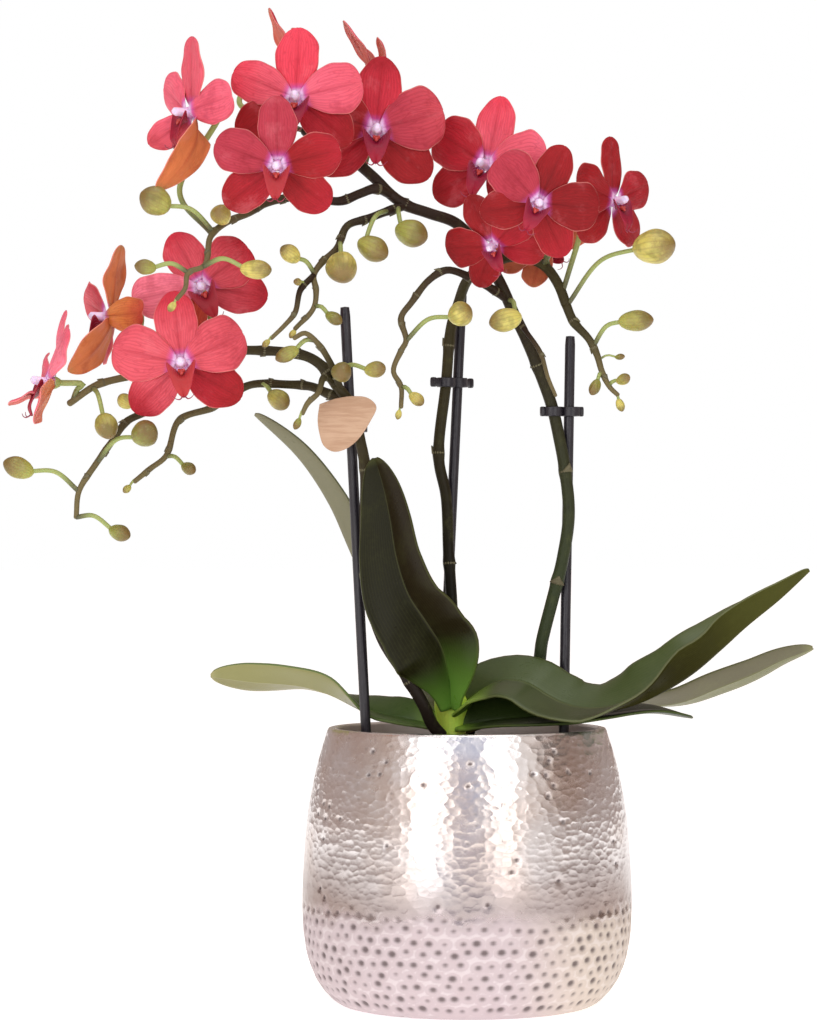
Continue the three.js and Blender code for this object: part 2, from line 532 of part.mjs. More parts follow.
// The point of the stems' centre lines that lies nearest, where a branch or a stalk grows out
function seatOn(stems, point) {
  const target = vec(point);
  let best = new THREE.Vector3(Infinity, 0, 0);
  stems.forEach(({ route }) => {
    const { points } = centreLine(route, STEM_STEP);
    for (let i = 0; i + 1 < points.length; i += 1) {
      const near = new THREE.Vector3();
      new THREE.Line3(points[i], points[i + 1]).closestPointToPoint(target, true, near);
      if (near.distanceTo(target) < best.distanceTo(target)) best = near;
    }
  });
  return best.toArray();
}

// A bloom's stalk leaves the spike, rises and comes in behind the flower
function bloomStalk(bloom, stems) {
  const matrix = placeBloom(bloom);
  const end = new THREE.Vector3(0, 0, -3 - CLEAR / bloom.size).applyMatrix4(matrix);
  const before = new THREE.Vector3(0, 0, -12).applyMatrix4(matrix);
  const root = vec(bloom.root);
  const lift = root.clone().lerp(before, 0.45).add(new THREE.Vector3(0, 0, 1.5));
  const by = bloom.via ?? lift.toArray();
  return stem([seatOn(stems, bloom.root), by, before.toArray(), end.toArray()], [1.1, 1.2], 4);
}

// A bud on its stalk, which arches over and ends in the bud
function budOnStalk([centre, near, length, width, aim], stems) {
  const root = seatOn(stems, near);
  const [c, r] = [vec(centre), vec(root)];
  const axis = (aim ? vec(aim) : c.clone().sub(r)).normalize();
  const base = c.clone().addScaledVector(axis, -length * 0.42);
  const bend = r.clone().lerp(base, 0.5).add(new THREE.Vector3(0, 0, r.distanceTo(c) * 0.16));
  const tip = c.clone().addScaledVector(axis, length / 2);
  const stages = [[-0.3, 0.7], [0.05, 1], [0.36, 0.56]];
  const side = new THREE.Vector3(axis.y, -axis.x, 0.01).normalize();
  const other = axis.clone().cross(side);
  const rings = stages.map(([along, share]) => Array.from({ length: 5 }, (_, j) => {
    const turn = (j / 5) * Math.PI * 2;
    return c.clone().addScaledVector(axis, along * length)
      .addScaledVector(side, Math.cos(turn) * share * width / 2)
      .addScaledVector(other, Math.sin(turn) * share * width / 2);
  }));
  const bud = solidOf(loft(rings, c.clone().addScaledVector(axis, -length / 2), tip));
  const thin = Math.min(0.85, width * 0.16);
  const seat = base.addScaledVector(axis, length * 0.12);
  const route = r.distanceTo(c) > length * 0.6 ? [root, bend.toArray(), seat.toArray()] : [root, centre];
  return bud.add(stem(route, [thin * 1.15, thin], 4, 20));
}

function spikeSolid(name) {
  const { stems: [main, ...branches], buds } = SPIKES[name];
  const stems = [main];
  branches.forEach(({ radii, route: [first, ...rest] }) => {
    stems.push({ radii, route: [seatOn(stems, first), ...rest] });
  });
  return join([
    ...stems.map(({ route, radii }) => stem(route, radii, radii[0] > 2 ? 6 : 5)),
    ...BLOOMS.filter((bloom) => bloom.spike === name).map((bloom) => bloomStalk(bloom, stems)),
    ...buds.map((bud) => budOnStalk(bud, stems)),
  ]);
}

// Stakes stand in holes in the bark

const STAKES = {
  stake_left: { foot: [-37.4, -6, 60], top: [-48, -17, 275] },
  stake_middle: { foot: [-12, 21, 60], top: [-1.5, 32, 285] },
  stake_right: { foot: [37.6, 5.5, 60], top: [41.4, 15.5, 265] },
};

function stakeSolid({ foot, top }, grow = 0) {
  const radius = STAKE_RADIUS + grow;
  return stem([foot, top], [radius, radius], 8, 400);
}

// The hole for a stake goes a little deeper than its foot
const stakeHole = ({ foot: [x, y, z], top }) => stakeSolid({ foot: [x, y, z - 1], top }, CLEAR);

// A clip: a short bar with a finger tab at both ends, and an eye round the spike and round the stake
const CLIPS = {
  clip_left: { side: 'left', height: 228, eyes: [[-43, -21], [-45.6, -14.6]], tab: 3 },
  clip_middle: { side: 'middle', height: 247, eyes: [[-8, 25], [-3.2, 30.2]], tab: 5.5 },
  clip_right: { side: 'right', height: 235, eyes: [[34.4, 12], [41.5, 14]], tab: 2.4 },
};

function clipSolid({ height, eyes, tab }) {
  const [a, b] = eyes.map(([x, y]) => new THREE.Vector3(x, y, height));
  const along = b.clone().sub(a);
  const length = along.length() + 2 * (2.6 + tab);
  const bar = new THREE.BoxGeometry(length, 2, CLIP_HEIGHT);
  bar.rotateZ(Math.atan2(along.y, along.x));
  const middle = a.clone().lerp(b, 0.5);
  bar.translate(middle.x, middle.y, middle.z);
  const half = CLIP_HEIGHT / 2;
  const eye = turned([[0, -half], [3.9, -half], [3.9, half], [0, half]], 6);
  return join([solidOf(bar), eye.translate(a.toArray()), eye.translate(b.toArray())]);
}

// The tag is a rounded wooden pick plate, flat to the front
const TAG = {
  centre: [-46.6, -28.2, 229.5],
  outline: [[-12, 8], [-5, 10.4], [3, 11.4], [8.5, 10.6], [12, 7], [9.6, 1], [3.6, -7.6], [-2, -11.4],
    [-6.4, -12], [-10.2, -9.6], [-12, -4.6], [-12.8, 1.4]],
};

function tagSolid() {
  const edge = new THREE.SplineCurve(TAG.outline.map(([x, z]) => new THREE.Vector2(x * 0.92, z * 0.92)));
  const shape = new THREE.Shape(edge.getPoints(22));
  const plate = new THREE.ExtrudeGeometry(shape, { depth: TAG_THICKNESS, bevelEnabled: false });
  plate.rotateX(Math.PI / 2);
  plate.translate(TAG.centre[0], TAG.centre[1] + TAG_THICKNESS, TAG.centre[2]);
  return solidOf(plate);
}

const MATERIALS = {
  pot: { color: 0xc9c0ba, roughness: 0.32, metalness: 0.7 },
  grow: { color: 0xcfd4cf, roughness: 0.35, metalness: 0 },
  bark: { color: 0x4c3022, roughness: 0.9, metalness: 0 },
  crown: { color: 0x86a83c, roughness: 0.5, metalness: 0 },
  leaf: { color: 0x3f5a22, roughness: 0.38, metalness: 0 },
  spike: { color: 0x5c5c34, roughness: 0.5, metalness: 0 },
  bloom: { color: 0xd5405a, roughness: 0.55, metalness: 0 },
  lip: { color: 0x9c1440, roughness: 0.5, metalness: 0 },
  stake: { color: 0x1d1c22, roughness: 0.4, metalness: 0 },
  tag: { color: 0xe8bd92, roughness: 0.75, metalness: 0 },
};

const plant = new THREE.Group();

function add(name, solid, look) {
  const mesh = new THREE.Mesh(geometryOf(solid), new THREE.MeshStandardMaterial(MATERIALS[look]));
  mesh.name = name;
  plant.add(mesh);
}

add('pot', potSolid(), 'pot');
add('grow_pot', growPotSolid(), 'grow');
const crown = tidy(crownSolid());
add('crown', crown, 'crown');
add('bark', tidy(barkSolid([crownSolid(CLEAR), ...Object.values(STAKES).map(stakeHole)])), 'bark');
Object.entries(STAKES).forEach(([name, stake]) => add(name, stakeSolid(stake), 'stake'));

// Leaves are cut clear of the crown, of the feet of the spikes and of one another
function spikeSpace({ stems: [{ route, radii }] }, points = route.length) {
  return stem(route.slice(0, points), radii.map((radius) => radius + 2 * CLEAR));
}

let taken = join([crownSolid(CLEAR), ...Object.values(SPIKES).map((spike) => spikeSpace(spike, 5))]);
Object.entries(LEAVES).forEach(([name, leaf]) => {
  add(name, tidy(leafSolid(leaf).subtract(taken)), 'leaf');
  taken = taken.add(leafSpace(leaf));
});

Object.keys(SPIKES).forEach((name) => {
  add(name, tidy(spikeSolid(name).subtract(crownSolid(CLEAR))), 'spike');
});

Object.entries(CLIPS).forEach(([name, clip]) => {
  const held = spikeSpace(SPIKES[`spike_${clip.side}`]).add(stakeSolid(STAKES[`stake_${clip.side}`], CLEAR));
  add(name, tidy(clipSolid(clip).subtract(held)), 'stake');
});
add('tag', tagSolid(), 'tag');

const lip = lipSolid();
BLOOMS.forEach((bloom, i) => {
  const number = String(i + 1).padStart(2, '0');
  const matrix = placeBloom(bloom).elements;
  add(`bloom_${number}`, bloomSolid(bloom).transform(matrix), 'bloom');
  add(`lip_${number}`, lip.transform(matrix), 'lip');
});

export default plant;
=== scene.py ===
"""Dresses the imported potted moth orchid: hammered silver cover pot, veined blooms, buds, stems and leaves."""

import math

import bmesh
import bpy
import numpy as np
from mathutils import Matrix, Vector


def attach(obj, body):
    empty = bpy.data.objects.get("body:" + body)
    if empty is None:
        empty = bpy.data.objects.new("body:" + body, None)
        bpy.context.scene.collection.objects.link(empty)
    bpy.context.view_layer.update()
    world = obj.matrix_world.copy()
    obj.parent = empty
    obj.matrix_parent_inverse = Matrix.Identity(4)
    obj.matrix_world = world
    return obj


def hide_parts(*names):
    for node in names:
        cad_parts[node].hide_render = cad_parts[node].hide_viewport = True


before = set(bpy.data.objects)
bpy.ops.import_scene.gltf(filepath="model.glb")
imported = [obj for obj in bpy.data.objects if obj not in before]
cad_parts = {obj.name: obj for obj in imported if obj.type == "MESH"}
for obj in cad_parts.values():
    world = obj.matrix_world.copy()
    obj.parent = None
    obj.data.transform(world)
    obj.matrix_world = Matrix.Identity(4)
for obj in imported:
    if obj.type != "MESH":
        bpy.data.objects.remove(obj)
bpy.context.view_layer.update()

bl_info = {
    "name": "Potted Moth Orchid",
    "version": (1, 0, 0),
    "blender": (4, 5, 0),
    "location": "3D View > Sidebar > Orchid",
    "description": "Adds the pieces of a potted moth orchid and a pale studio round it",
    "category": "Add Mesh",
}

MM = 0.001


def tint(code):
    """A linear colour from a screen colour such as d8405a."""
    values = [int(code[i : i + 2], 16) / 255 for i in (0, 2, 4)]
    return tuple(v / 12.92 if v <= 0.04045 else ((v + 0.055) / 1.055) ** 2.4 for v in values)


# Sizes and colours that a user would change

def metres(name, description, default, low=0.0):
    return bpy.props.FloatProperty(
        name=name, description=description, default=default, min=low, unit="LENGTH", precision=5
    )


def colour(name, description, code):
    return bpy.props.FloatVectorProperty(
        name=name, description=description, default=tint(code), min=0.0, max=1.0, subtype="COLOR"
    )


class OrchidPotSettings(bpy.types.PropertyGroup):
    dimple_depth: metres("Dimple depth", "Depth of the marks in the matt band", 0.75 * MM)
    hammer_depth: metres("Hammer depth", "Depth of the soft marks in the shiny band", 0.07 * MM)
    band_height: metres("Matt band height", "Height up to which the pot is matt", 38 * MM)
    silver: colour("Silver", "Colour of the shiny silver leaf", "e8e4e4")
    blush: colour("Blush silver", "Colour of the matt silver leaf", "ccbfc2")
    tarnish: colour("Tarnish", "Colour inside the marks", "5c4e4e")
    inner_wall: colour("Inner wall", "Colour of the pot's inside", "f0e6e2")


class OrchidPlantSettings(bpy.types.PropertyGroup):
    petal_thickness: metres("Petal thickness", "Thickness of a petal at its midrib", 0.7 * MM)
    leaf_thickness: metres("Leaf thickness", "Thickness of a leaf at its midrib", 1.9 * MM)
    petal_back: colour("Petal back", "Colour of the backs of the petals", "d0704a")
    halo: colour("Heart", "Pale colour at a bloom's heart", "f3d6f3")
    violet: colour("Violet", "Violet ring round a bloom's heart", "cb5fbb")
    lip: colour("Lip", "Colour of the lips", "84102f")
    callus: colour("Callus", "Colour of the small crest on the lip", "b83a34")
    stem: colour("Stem", "Colour of the stalks' feet", "4c4a2e")
    stalk: colour("Stalk", "Colour of the flower stalks", "98a35c")
    bud: colour("Bud", "Colour of the buds", "d4c868")
    bud_blush: colour("Bud blush", "Brown red blush on the buds", "6f4f2a")
    crown: colour("Crown", "Colour of the crown", "def260")
    root: colour("Root", "Colour of the roots", "b9bfa4")
    bark: colour("Bark", "Colour of the bark mix", "5b3a28")


class OrchidHardwareSettings(bpy.types.PropertyGroup):
    stake_radius: metres("Stake radius", "Radius of the stakes", 2.0 * MM)
    stake: colour("Stake", "Colour of the stakes and clips", "1b191e")
    tag: colour("Tag", "Colour of the wooden tag", "c29f83")
    tag_grain: colour("Tag grain", "Colour of the tag's grain", "b08b6f")
    grow_pot: colour("Grow pot", "Colour of the inner pot", "9aa096")


class OrchidStageSettings(bpy.types.PropertyGroup):
    camera_distance: metres("Camera distance", "Distance of the camera in front of the pot's axis", 1.6)
    camera_height: metres("Camera height", "Height of the level camera", 0.195)
    camera_side: metres("Camera side step", "Sideways place of the camera", -0.0231, low=-10.0)
    lens: bpy.props.FloatProperty(name="Lens", description="Focal length", default=142.41, unit="CAMERA")
    floor: colour("Floor", "Colour of the floor", "f6f6f5")


# Curves and closed meshes. Routes and profiles are in millimetres, and what goes into a mesh is in metres.

class Shape:
    """Points, faces, face-corner UVs, material slots and a mark per point, gathered for one piece."""

    def __init__(self):
        self.points, self.marks, self.faces, self.uvs, self.slots = [], [], [], [], []
        self.count = 0

    def add(self, points, faces, uvs, slot=0, mark=0.0):
        """Adds points with parts of their faces. The slot is one for all parts, or one for each."""
        points = np.asarray(points, float).reshape(-1, 3)
        self.points.append(points)
        self.marks.append(np.broadcast_to(np.asarray(mark, float).ravel(), (len(points),)))
        for part, part_uvs, part_slot in zip(faces, uvs, np.broadcast_to(slot, len(faces)).tolist()):
            self.faces.extend((part + self.count).tolist())
            self.uvs.append(part_uvs.reshape(-1, 2))
            self.slots.extend([part_slot] * len(part))
        self.count += len(points)

    def mesh(self, name):
        mesh = bpy.data.meshes.new(name)
        mesh.from_pydata(np.vstack(self.points).tolist(), [], self.faces)
        mesh.uv_layers.new(name="surface").data.foreach_set("uv", np.vstack(self.uvs).ravel())
        mesh.attributes.new("mark", "FLOAT", "POINT").data.foreach_set("value", np.concatenate(self.marks))
        mesh.polygons.foreach_set("material_index", self.slots)
        mesh.validate()
        mesh.shade_smooth()
        return mesh


def link_new(name, data):
    """A new object in the scene that holds a mesh, a light or a camera."""
    made = bpy.data.objects.new(name, data)
    bpy.context.scene.collection.objects.link(made)
    return made


def place(name, shape, materials, nodes, crease=None):
    """Makes the object of a piece, which rides on the plant and stands for its CAD nodes."""
    mesh = shape.mesh(name)
    if crease is not None:
        mesh.set_sharp_from_angle(angle=math.radians(crease))
    for material in materials:
        mesh.materials.append(material)
    piece = link_new(name, mesh)
    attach(piece, "root")
    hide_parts(*nodes)


def unit(vectors):
    return vectors / np.maximum(np.linalg.norm(vectors, axis=-1, keepdims=True), 1e-12)


def smooth(low, high, x):
    t = np.clip((x - low) / (high - low), 0, 1)
    return t * t * (3 - 2 * t)


def full_turn(count):
    return np.linspace(0, math.tau, count, endpoint=False)


def turn_about(axis, degrees):
    return np.array(Matrix.Rotation(math.radians(degrees), 3, axis))


def spline_at(points, t):
    """Points of a centripetal Catmull-Rom curve, with t even over its spans from 0 to 1."""
    p = np.asarray(points, float)
    p = np.vstack([2 * p[0] - p[1], p, 2 * p[-1] - p[-2]])
    spans = len(p) - 3
    t = np.clip(np.asarray(t, float), 0, 1) * spans
    k = np.minimum(t.astype(int), spans - 1)
    w = (t - k)[:, None]
    a, b, c, d = p[k], p[k + 1], p[k + 2], p[k + 3]
    ab, bc, cd = [
        np.maximum(np.linalg.norm(y - x, axis=1), 1e-7)[:, None] ** 0.5 for x, y in ((a, b), (b, c), (c, d))
    ]
    first = ((b - a) / ab - (c - a) / (ab + bc) + (c - b) / bc) * bc
    second = ((c - b) / bc - (d - b) / (bc + cd) + (d - c) / cd) * bc
    near = (2 * w**3 - 3 * w**2 + 1) * b + (w**3 - 2 * w**2 + w) * first
    return near + (3 * w**2 - 2 * w**3) * c + (w**3 - w**2) * second


def spline_even(points, shares):
    """Points at the given shares of a curve's length, and that length."""
    t = np.linspace(0, 1, 24 * len(points))
    dense = spline_at(points, t)
    reach = np.concatenate([[0], np.cumsum(np.linalg.norm(np.diff(dense, axis=0), axis=1))])
    return spline_at(points, np.interp(np.asarray(shares) * reach[-1], reach, t)), reach[-1]


def route_points(points, count):
    return spline_even(points, np.linspace(0, 1, count))[0]


def route_length(points):
    return spline_even(points, [0])[1]


def grid_faces(rows, columns, wrap=False, flip=False, us=None, vs=None):
    """Quads of a grid of points and their UVs, which are even unless us or vs give them."""
    spans = columns if wrap else columns - 1
    us = np.linspace(0, 1, spans + 1) if us is None else us
    vs = np.linspace(0, 1, rows) if vs is None else vs
    i, j = [index.ravel() for index in np.meshgrid(np.arange(rows - 1), np.arange(spans), indexing="ij")]
    k = (j + 1) % columns
    quads = np.stack([i * columns + j, i * columns + k, (i + 1) * columns + k, (i + 1) * columns + j], axis=1)
    u, v = us[np.stack([j, j + 1, j + 1, j], axis=1)], vs[np.stack([i, i, i + 1, i + 1], axis=1)]
    uvs = np.stack([u, v], axis=2)
    return (quads[:, ::-1], uvs[:, ::-1]) if flip else (quads, uvs)


def closed_tube(rings, start=None, end=None):
    """Rings of points closed by a point at either end, by default the middle of the ring there."""
    rows, sides = rings.shape[:2]
    quads, uvs = grid_faces(rows, sides, wrap=True)
    j = np.arange(sides)
    k = (j + 1) % sides
    last = (rows - 1) * sides
    low = np.stack([np.full(sides, rows * sides), k, j], axis=1)
    high = np.stack([np.full(sides, rows * sides + 1), last + j, last + k], axis=1)
    foot = np.stack([j / sides, 0.0 * j], axis=1)
    low_uv = np.stack([foot, foot + [1 / sides, 0], foot], axis=1)
    high_uv = np.stack([foot + [0, 1]] * 3, axis=1)
    start = rings[0].mean(0) if start is None else start
    end = rings[-1].mean(0) if end is None else end
    return np.vstack([rings.reshape(-1, 3), start, end]), (quads, low, high), (uvs, low_uv, high_uv)


def turned_rings(profile, sides):
    """Rings of a profile of (radius, height) pairs, turned about the plant's axis."""
    angle = full_turn(sides)
    profile = np.array(profile) * MM
    radii, heights = profile[:, :1], profile[:, 1:]
    return np.stack([radii * np.cos(angle), radii * np.sin(angle), heights + 0 * angle], axis=2)


def frames_along(centres):
    """Directions along a line of centres, and two directions across it that don't twist."""
    ahead = unit(np.gradient(centres, axis=0))
    side = np.cross(ahead[0], [0.3, 0.9, 0.2])
    across = []
    for direction in ahead:
        side = unit(side - direction * np.dot(side, direction))
        across.append(side)
    across = np.array(across)
    return ahead, across, np.cross(ahead, across)


def ring_points(centres, across, other, radii, turn, reach=1.0):
    """Rings round a line of centres. The reach makes a ring other than round."""
    flat, tall = (np.cos(turn) * reach)[None, :, None], (np.sin(turn) * reach)[None, :, None]
    spread = across[:, None] * flat + other[:, None] * tall
    return centres[:, None] + spread * np.asarray(radii)[:, None, None]


DOME_TURNS = (30, 55, 75)


def add_tube(shape, centres, radii, sides, slot=0, mark=0.0, dome=0.0):
    """A round stem along centres. A dome rounds its far end."""
    ahead, across, other = frames_along(centres)
    mark = np.broadcast_to(np.asarray(mark, float), len(centres))
    if dome:
        turn = np.radians(DOME_TURNS)[:, None]
        tip = centres[-1] + ahead[-1] * radii[-1] * dome * np.sin(turn)
        centres = np.vstack([centres, tip])
        radii = np.concatenate([radii, radii[-1] * np.cos(turn[:, 0])])
        ahead, across, other = [
            np.vstack([part, np.repeat(part[-1:], len(tip), axis=0)]) for part in (ahead, across, other)
        ]
        mark = np.concatenate([mark, np.repeat(mark[-1:], len(tip))])
    rings = ring_points(centres, across, other, radii, full_turn(sides))
    tube = closed_tube(rings, centres[0], centres[-1] + ahead[-1] * (radii[-1] * dome) * 0.05)
    shape.add(*tube, slot, np.concatenate([np.repeat(mark, sides), mark[:1], mark[-1:]]))


KNOT_SWELL = 0.13
KNOT_REACH = 2.2 * MM


def add_stem(shape, route, radii, sides=12, step=1.6 * MM, slot=0, mark=(0, 0), knots=()):
    """A stem along a route. Knots are the shares of its length where it swells."""
    route = np.asarray(route, float) * MM
    reach = route_length(route)
    shares = np.linspace(0, 1, max(4, int(reach / step)))
    centres = spline_even(route, shares)[0]
    girth = np.interp(shares, [0, 1], radii) * MM
    for knot in knots:
        girth = girth * (1 + KNOT_SWELL * np.exp(-(((shares - knot) * reach / KNOT_REACH) ** 2)))
    add_tube(shape, centres, girth, sides, slot, np.interp(shares, [0, 1], mark), dome=0.8)
    return centres


def add_blade(shape, surface, rows, columns, thickness, front=0, back=1, mark=0.0):
    """A thin closed blade. surface(s, t) gives its middle for s along it and t across it, -1 to 1."""
    s, t = np.meshgrid(rows, columns, indexing="ij")
    middle = surface(s, t)
    normal = unit(np.cross(np.gradient(middle, axis=1), np.gradient(middle, axis=0)))
    half = (thickness / 2 * (1 - 0.55 * np.abs(t) ** 6) * (1 - 0.45 * s**8))[..., None]
    long, wide = s.shape
    us, vs = (columns + 1) / 2, rows
    upper, upper_uv = grid_faces(long, wide, us=us, vs=vs)
    lower, lower_uv = grid_faces(long, wide, us=us, vs=vs, flip=True)
    index = np.arange(s.size).reshape(long, wide)
    edge = np.concatenate([index[0, :-1], index[:-1, -1], index[-1, :0:-1], index[:0:-1, 0]])
    after = np.roll(edge, -1)
    rim = np.stack([after, edge, edge + s.size, after + s.size], axis=1)
    flat_uv = np.stack([np.tile(us, long), np.repeat(vs, wide)], axis=1)
    rim_uv = flat_uv[np.stack([after, edge, edge, after], axis=1)]
    points = np.concatenate([middle + normal * half, middle - normal * half])
    shape.add(points, (upper, rim, lower + s.size), (upper_uv, rim_uv, lower_uv), (front, front, back), mark)


# Shader nodes

def feed(tree, socket, value):
    """Links a value to a socket, or sets it there."""
    if isinstance(value, bpy.types.NodeSocket):
        tree.links.new(value, socket)
    else:
        socket.default_value = value


def add_node(tree, kind, inputs=None, **settings):
    """Adds a node with its settings, and links or sets its inputs."""
    node = tree.nodes.new(kind)
    for name, value in settings.items():
        setattr(node, name, value)
    for socket, value in (inputs or {}).items():
        feed(tree, node.inputs[socket], value)
    return node


def calc(tree, operation, first, second=0.0, third=0.0, clamp=False):
    inputs = {0: first, 1: second, 2: third}
    return add_node(tree, "ShaderNodeMath", inputs, operation=operation, use_clamp=clamp).outputs[0]


def times(tree, first, second):
    return calc(tree, "MULTIPLY", first, second)


def fade(tree, value, low, high, start=0.0, end=1.0):
    """A smooth step from start, where the value is low, to end, where it is high."""
    inputs = {"Value": value, "From Min": low, "From Max": high, "To Min": start, "To Max": end}
    return add_node(tree, "ShaderNodeMapRange", inputs, interpolation_type="SMOOTHSTEP").outputs["Result"]


def solid(tone):
    """A colour for a socket, from a screen colour or three numbers. A linked one stays as it is."""
    if isinstance(tone, bpy.types.NodeSocket):
        return tone
    return (*(tint(tone) if isinstance(tone, str) else tone), 1.0)


def blend(tree, amount, first, second, way="MIX"):
    """Mixes two colours, each a linked one, a screen colour or three numbers."""
    inputs = {0: amount, 6: solid(first), 7: solid(second)}
    return add_node(tree, "ShaderNodeMix", inputs, data_type="RGBA", blend_type=way).outputs[2]


def noise_value(tree, vector, scale, detail=3.0, roughness=0.55):
    inputs = {"Vector": vector, "Scale": scale, "Detail": detail, "Roughness": roughness}
    return add_node(tree, "ShaderNodeTexNoise", inputs).outputs["Fac"]


def place_coordinates(tree):
    return add_node(tree, "ShaderNodeTexCoord").outputs["Object"]


def stretch(tree, where, scale, rotation=(0, 0, 0)):
    inputs = {"Vector": where, "Rotation": rotation, "Scale": scale}
    return add_node(tree, "ShaderNodeMapping", inputs).outputs[0]


def surface_coordinates(tree):
    """Across and along a blade or a stem, both from 0 to 1."""
    uv = add_node(tree, "ShaderNodeUVMap", uv_map="surface").outputs["UV"]
    across, along, _ = add_node(tree, "ShaderNodeSeparateXYZ", {0: uv}).outputs
    return across, along


def from_middle(tree, across, scale=1.0):
    """How far a point is from the midrib, scaled."""
    return calc(tree, "ABSOLUTE", calc(tree, "MULTIPLY_ADD", across, scale, -0.5 * scale))


def mark_value(tree, name="mark", output="Fac"):
    return add_node(tree, "ShaderNodeAttribute", attribute_name=name).outputs[output]


def new_group(name, inputs, outputs):
    """An empty node group with float inputs, given with their defaults, and float outputs."""
    group = bpy.data.node_groups.new(name, "ShaderNodeTree")
    for socket, default in inputs.items():
        made = group.interface.new_socket(name=socket, in_out="INPUT", socket_type="NodeSocketFloat")
        made.default_value = default
    for socket in outputs:
        group.interface.new_socket(name=socket, in_out="OUTPUT", socket_type="NodeSocketFloat")
    return group, group.nodes.new("NodeGroupInput").outputs, group.nodes.new("NodeGroupOutput").inputs


def vein_group(name):
    """A net of veins and plain lines, which fan out along a petal or a leaf."""
    defaults = {"Across": 12.0, "Along": 3.0, "Width": 0.1, "Wander": 0.5}
    group, given, out = new_group(name, defaults, ["Net", "Lines"])
    across, along = surface_coordinates(group)
    shake = noise_value(group, place_coordinates(group), 160.0, 2.0)
    wander = times(group, calc(group, "SUBTRACT", shake, 0.5), given["Wander"])
    x = calc(group, "ADD", times(group, across, given["Across"]), wander)
    y = calc(group, "ADD", times(group, along, given["Along"]), wander)
    point = add_node(group, "ShaderNodeCombineXYZ", {"X": x, "Y": y}).outputs[0]
    inputs = {"Vector": point, "Scale": 1.0, "Randomness": 0.75}
    kind = {"voronoi_dimensions": "2D", "feature": "DISTANCE_TO_EDGE"}
    edge = add_node(group, "ShaderNodeTexVoronoi", inputs, **kind).outputs["Distance"]
    group.links.new(fade(group, edge, 0.0, given["Width"], 1.0, 0.0), out["Net"])
    gap = calc(group, "ABSOLUTE", calc(group, "SUBTRACT", calc(group, "FRACT", x), 0.5))
    group.links.new(fade(group, gap, 0.0, given["Width"], 1.0, 0.0), out["Lines"])
    return group


def mottle_group(name):
    """Soft uneven patches with fine grain in them."""
    group, given, out = new_group(name, {"Scale": 120.0, "Contrast": 0.5}, ["Value"])
    where = place_coordinates(group)
    patches = noise_value(group, where, given["Scale"], 4.0, 0.6)
    grain = noise_value(group, where, times(group, given["Scale"], 9.0), 2.0)
    both = calc(group, "MULTIPLY_ADD", grain, 0.3, times(group, patches, 0.7))
    spread = times(group, calc(group, "SUBTRACT", both, 0.5), given["Contrast"])
    group.links.new(calc(group, "ADD", spread, 0.5, clamp=True), out["Value"])
    return group


def margin_group(name):
    """How near a point of a blade is to its edge."""
    group, given, out = new_group(name, {"Width": 0.1}, ["Margin"])
    across, along = surface_coordinates(group)
    reach = calc(group, "MAXIMUM", from_middle(group, across, 2.0), along)
    start = calc(group, "SUBTRACT", 1.0, given["Width"])
    group.links.new(fade(group, reach, start, 1.0), out["Margin"])
    return group


def use_group(tree, name, maker, **values):
    """A node of a shared effect, which is built when it is first used."""
    group = bpy.data.node_groups.get(name) or maker(name)
    return add_node(tree, "ShaderNodeGroup", values, node_tree=group).outputs


def mottle_value(tree, scale, contrast):
    return use_group(tree, "Orchid mottle", mottle_group, Scale=scale, Contrast=contrast)["Value"]


def vein_values(tree, across, along, width, wander):
    values = {"Across": across, "Along": along, "Width": width, "Wander": wander}
    return use_group(tree, "Orchid veins", vein_group, **values)


def margin_value(tree, width):
    return use_group(tree, "Orchid margin", margin_group, Width=width)["Margin"]


def gloss(tree, mottle, low, high):
    """Roughness that follows the mottle from low to high."""
    return fade(tree, mottle, 0.2, 0.8, low, high)


def start_material(name):
    material = bpy.data.materials.new(name)
    material.use_nodes = True
    return material, material.node_tree


def finish_material(material, skin, rough, bump=None, **values):
    """Feeds the shader its colour, roughness, bump (height, strength, distance) and its other sockets."""
    tree = material.node_tree
    shader = tree.nodes["Principled BSDF"].inputs
    feed(tree, shader["Base Color"], skin)
    feed(tree, shader["Roughness"], rough)
    if bump:
        inputs = dict(zip(("Height", "Strength", "Distance"), bump))
        tree.links.new(add_node(tree, "ShaderNodeBump", inputs).outputs["Normal"], shader["Normal"])
    sockets = {socket.name.lower().replace(" ", "_"): socket for socket in shader if socket.enabled}
    for name, value in values.items():
        feed(tree, sockets[name], value)
    return material


def mottled_material(name, patches, tones, rough, bump=None):
    """Two tones in soft patches, given by their scale and contrast, which change the gloss too."""
    material, tree = start_material(name)
    mottle = mottle_value(tree, *patches)
    skin = blend(tree, mottle, *tones)
    return finish_material(material, skin, fade(tree, mottle, *rough), bump and (mottle, *bump))


# Cover pot

POT_MARKS = 66
POT_COLUMNS = POT_MARKS * 8
POT_RING_STEP = 0.86
POT_WALL = [(45.5, 0), (50, 1.2), (55, 5), (60, 12), (63.4, 22), (64.9, 34), (65, 45), (64.3, 60), (62.6, 78),
            (59, 96), (55.1, 109)]
POT_LIP = [(54.6, 109.8), (53.9, 110), (52.4, 110), (51.5, 109.7), (51, 109)]
POT_INSIDE = [(53.2, 103), (55, 96), (58.6, 78), (60.9, 60), (61.2, 45), (60, 22), (56, 12), (50, 6.2),
              (46, 5), (24, 5), (0.5, 5)]
POT_FOOT = 0.4 * MM
SILVER_LIP_RINGS = 3
POT_LIP_SMOOTH = (105.0, 108.0)
POT_FOOT_SMOOTH = (1.0, 3.0)
MARK_ROWS = 64
MARK_STEP = 4.5
MARK_START = 4.6
DIMPLE_RADIUS = 1.35
DIMPLE_CELL = 2.9
DIMPLE_RIDGE = (1.9, 3.2)
HAMMER_CELL = 3.2
PIT_RADIUS = 0.9
PIT_CLUSTER = {"turn": 5.29, "width": 0.14, "rise": (66.0, 88.0)}


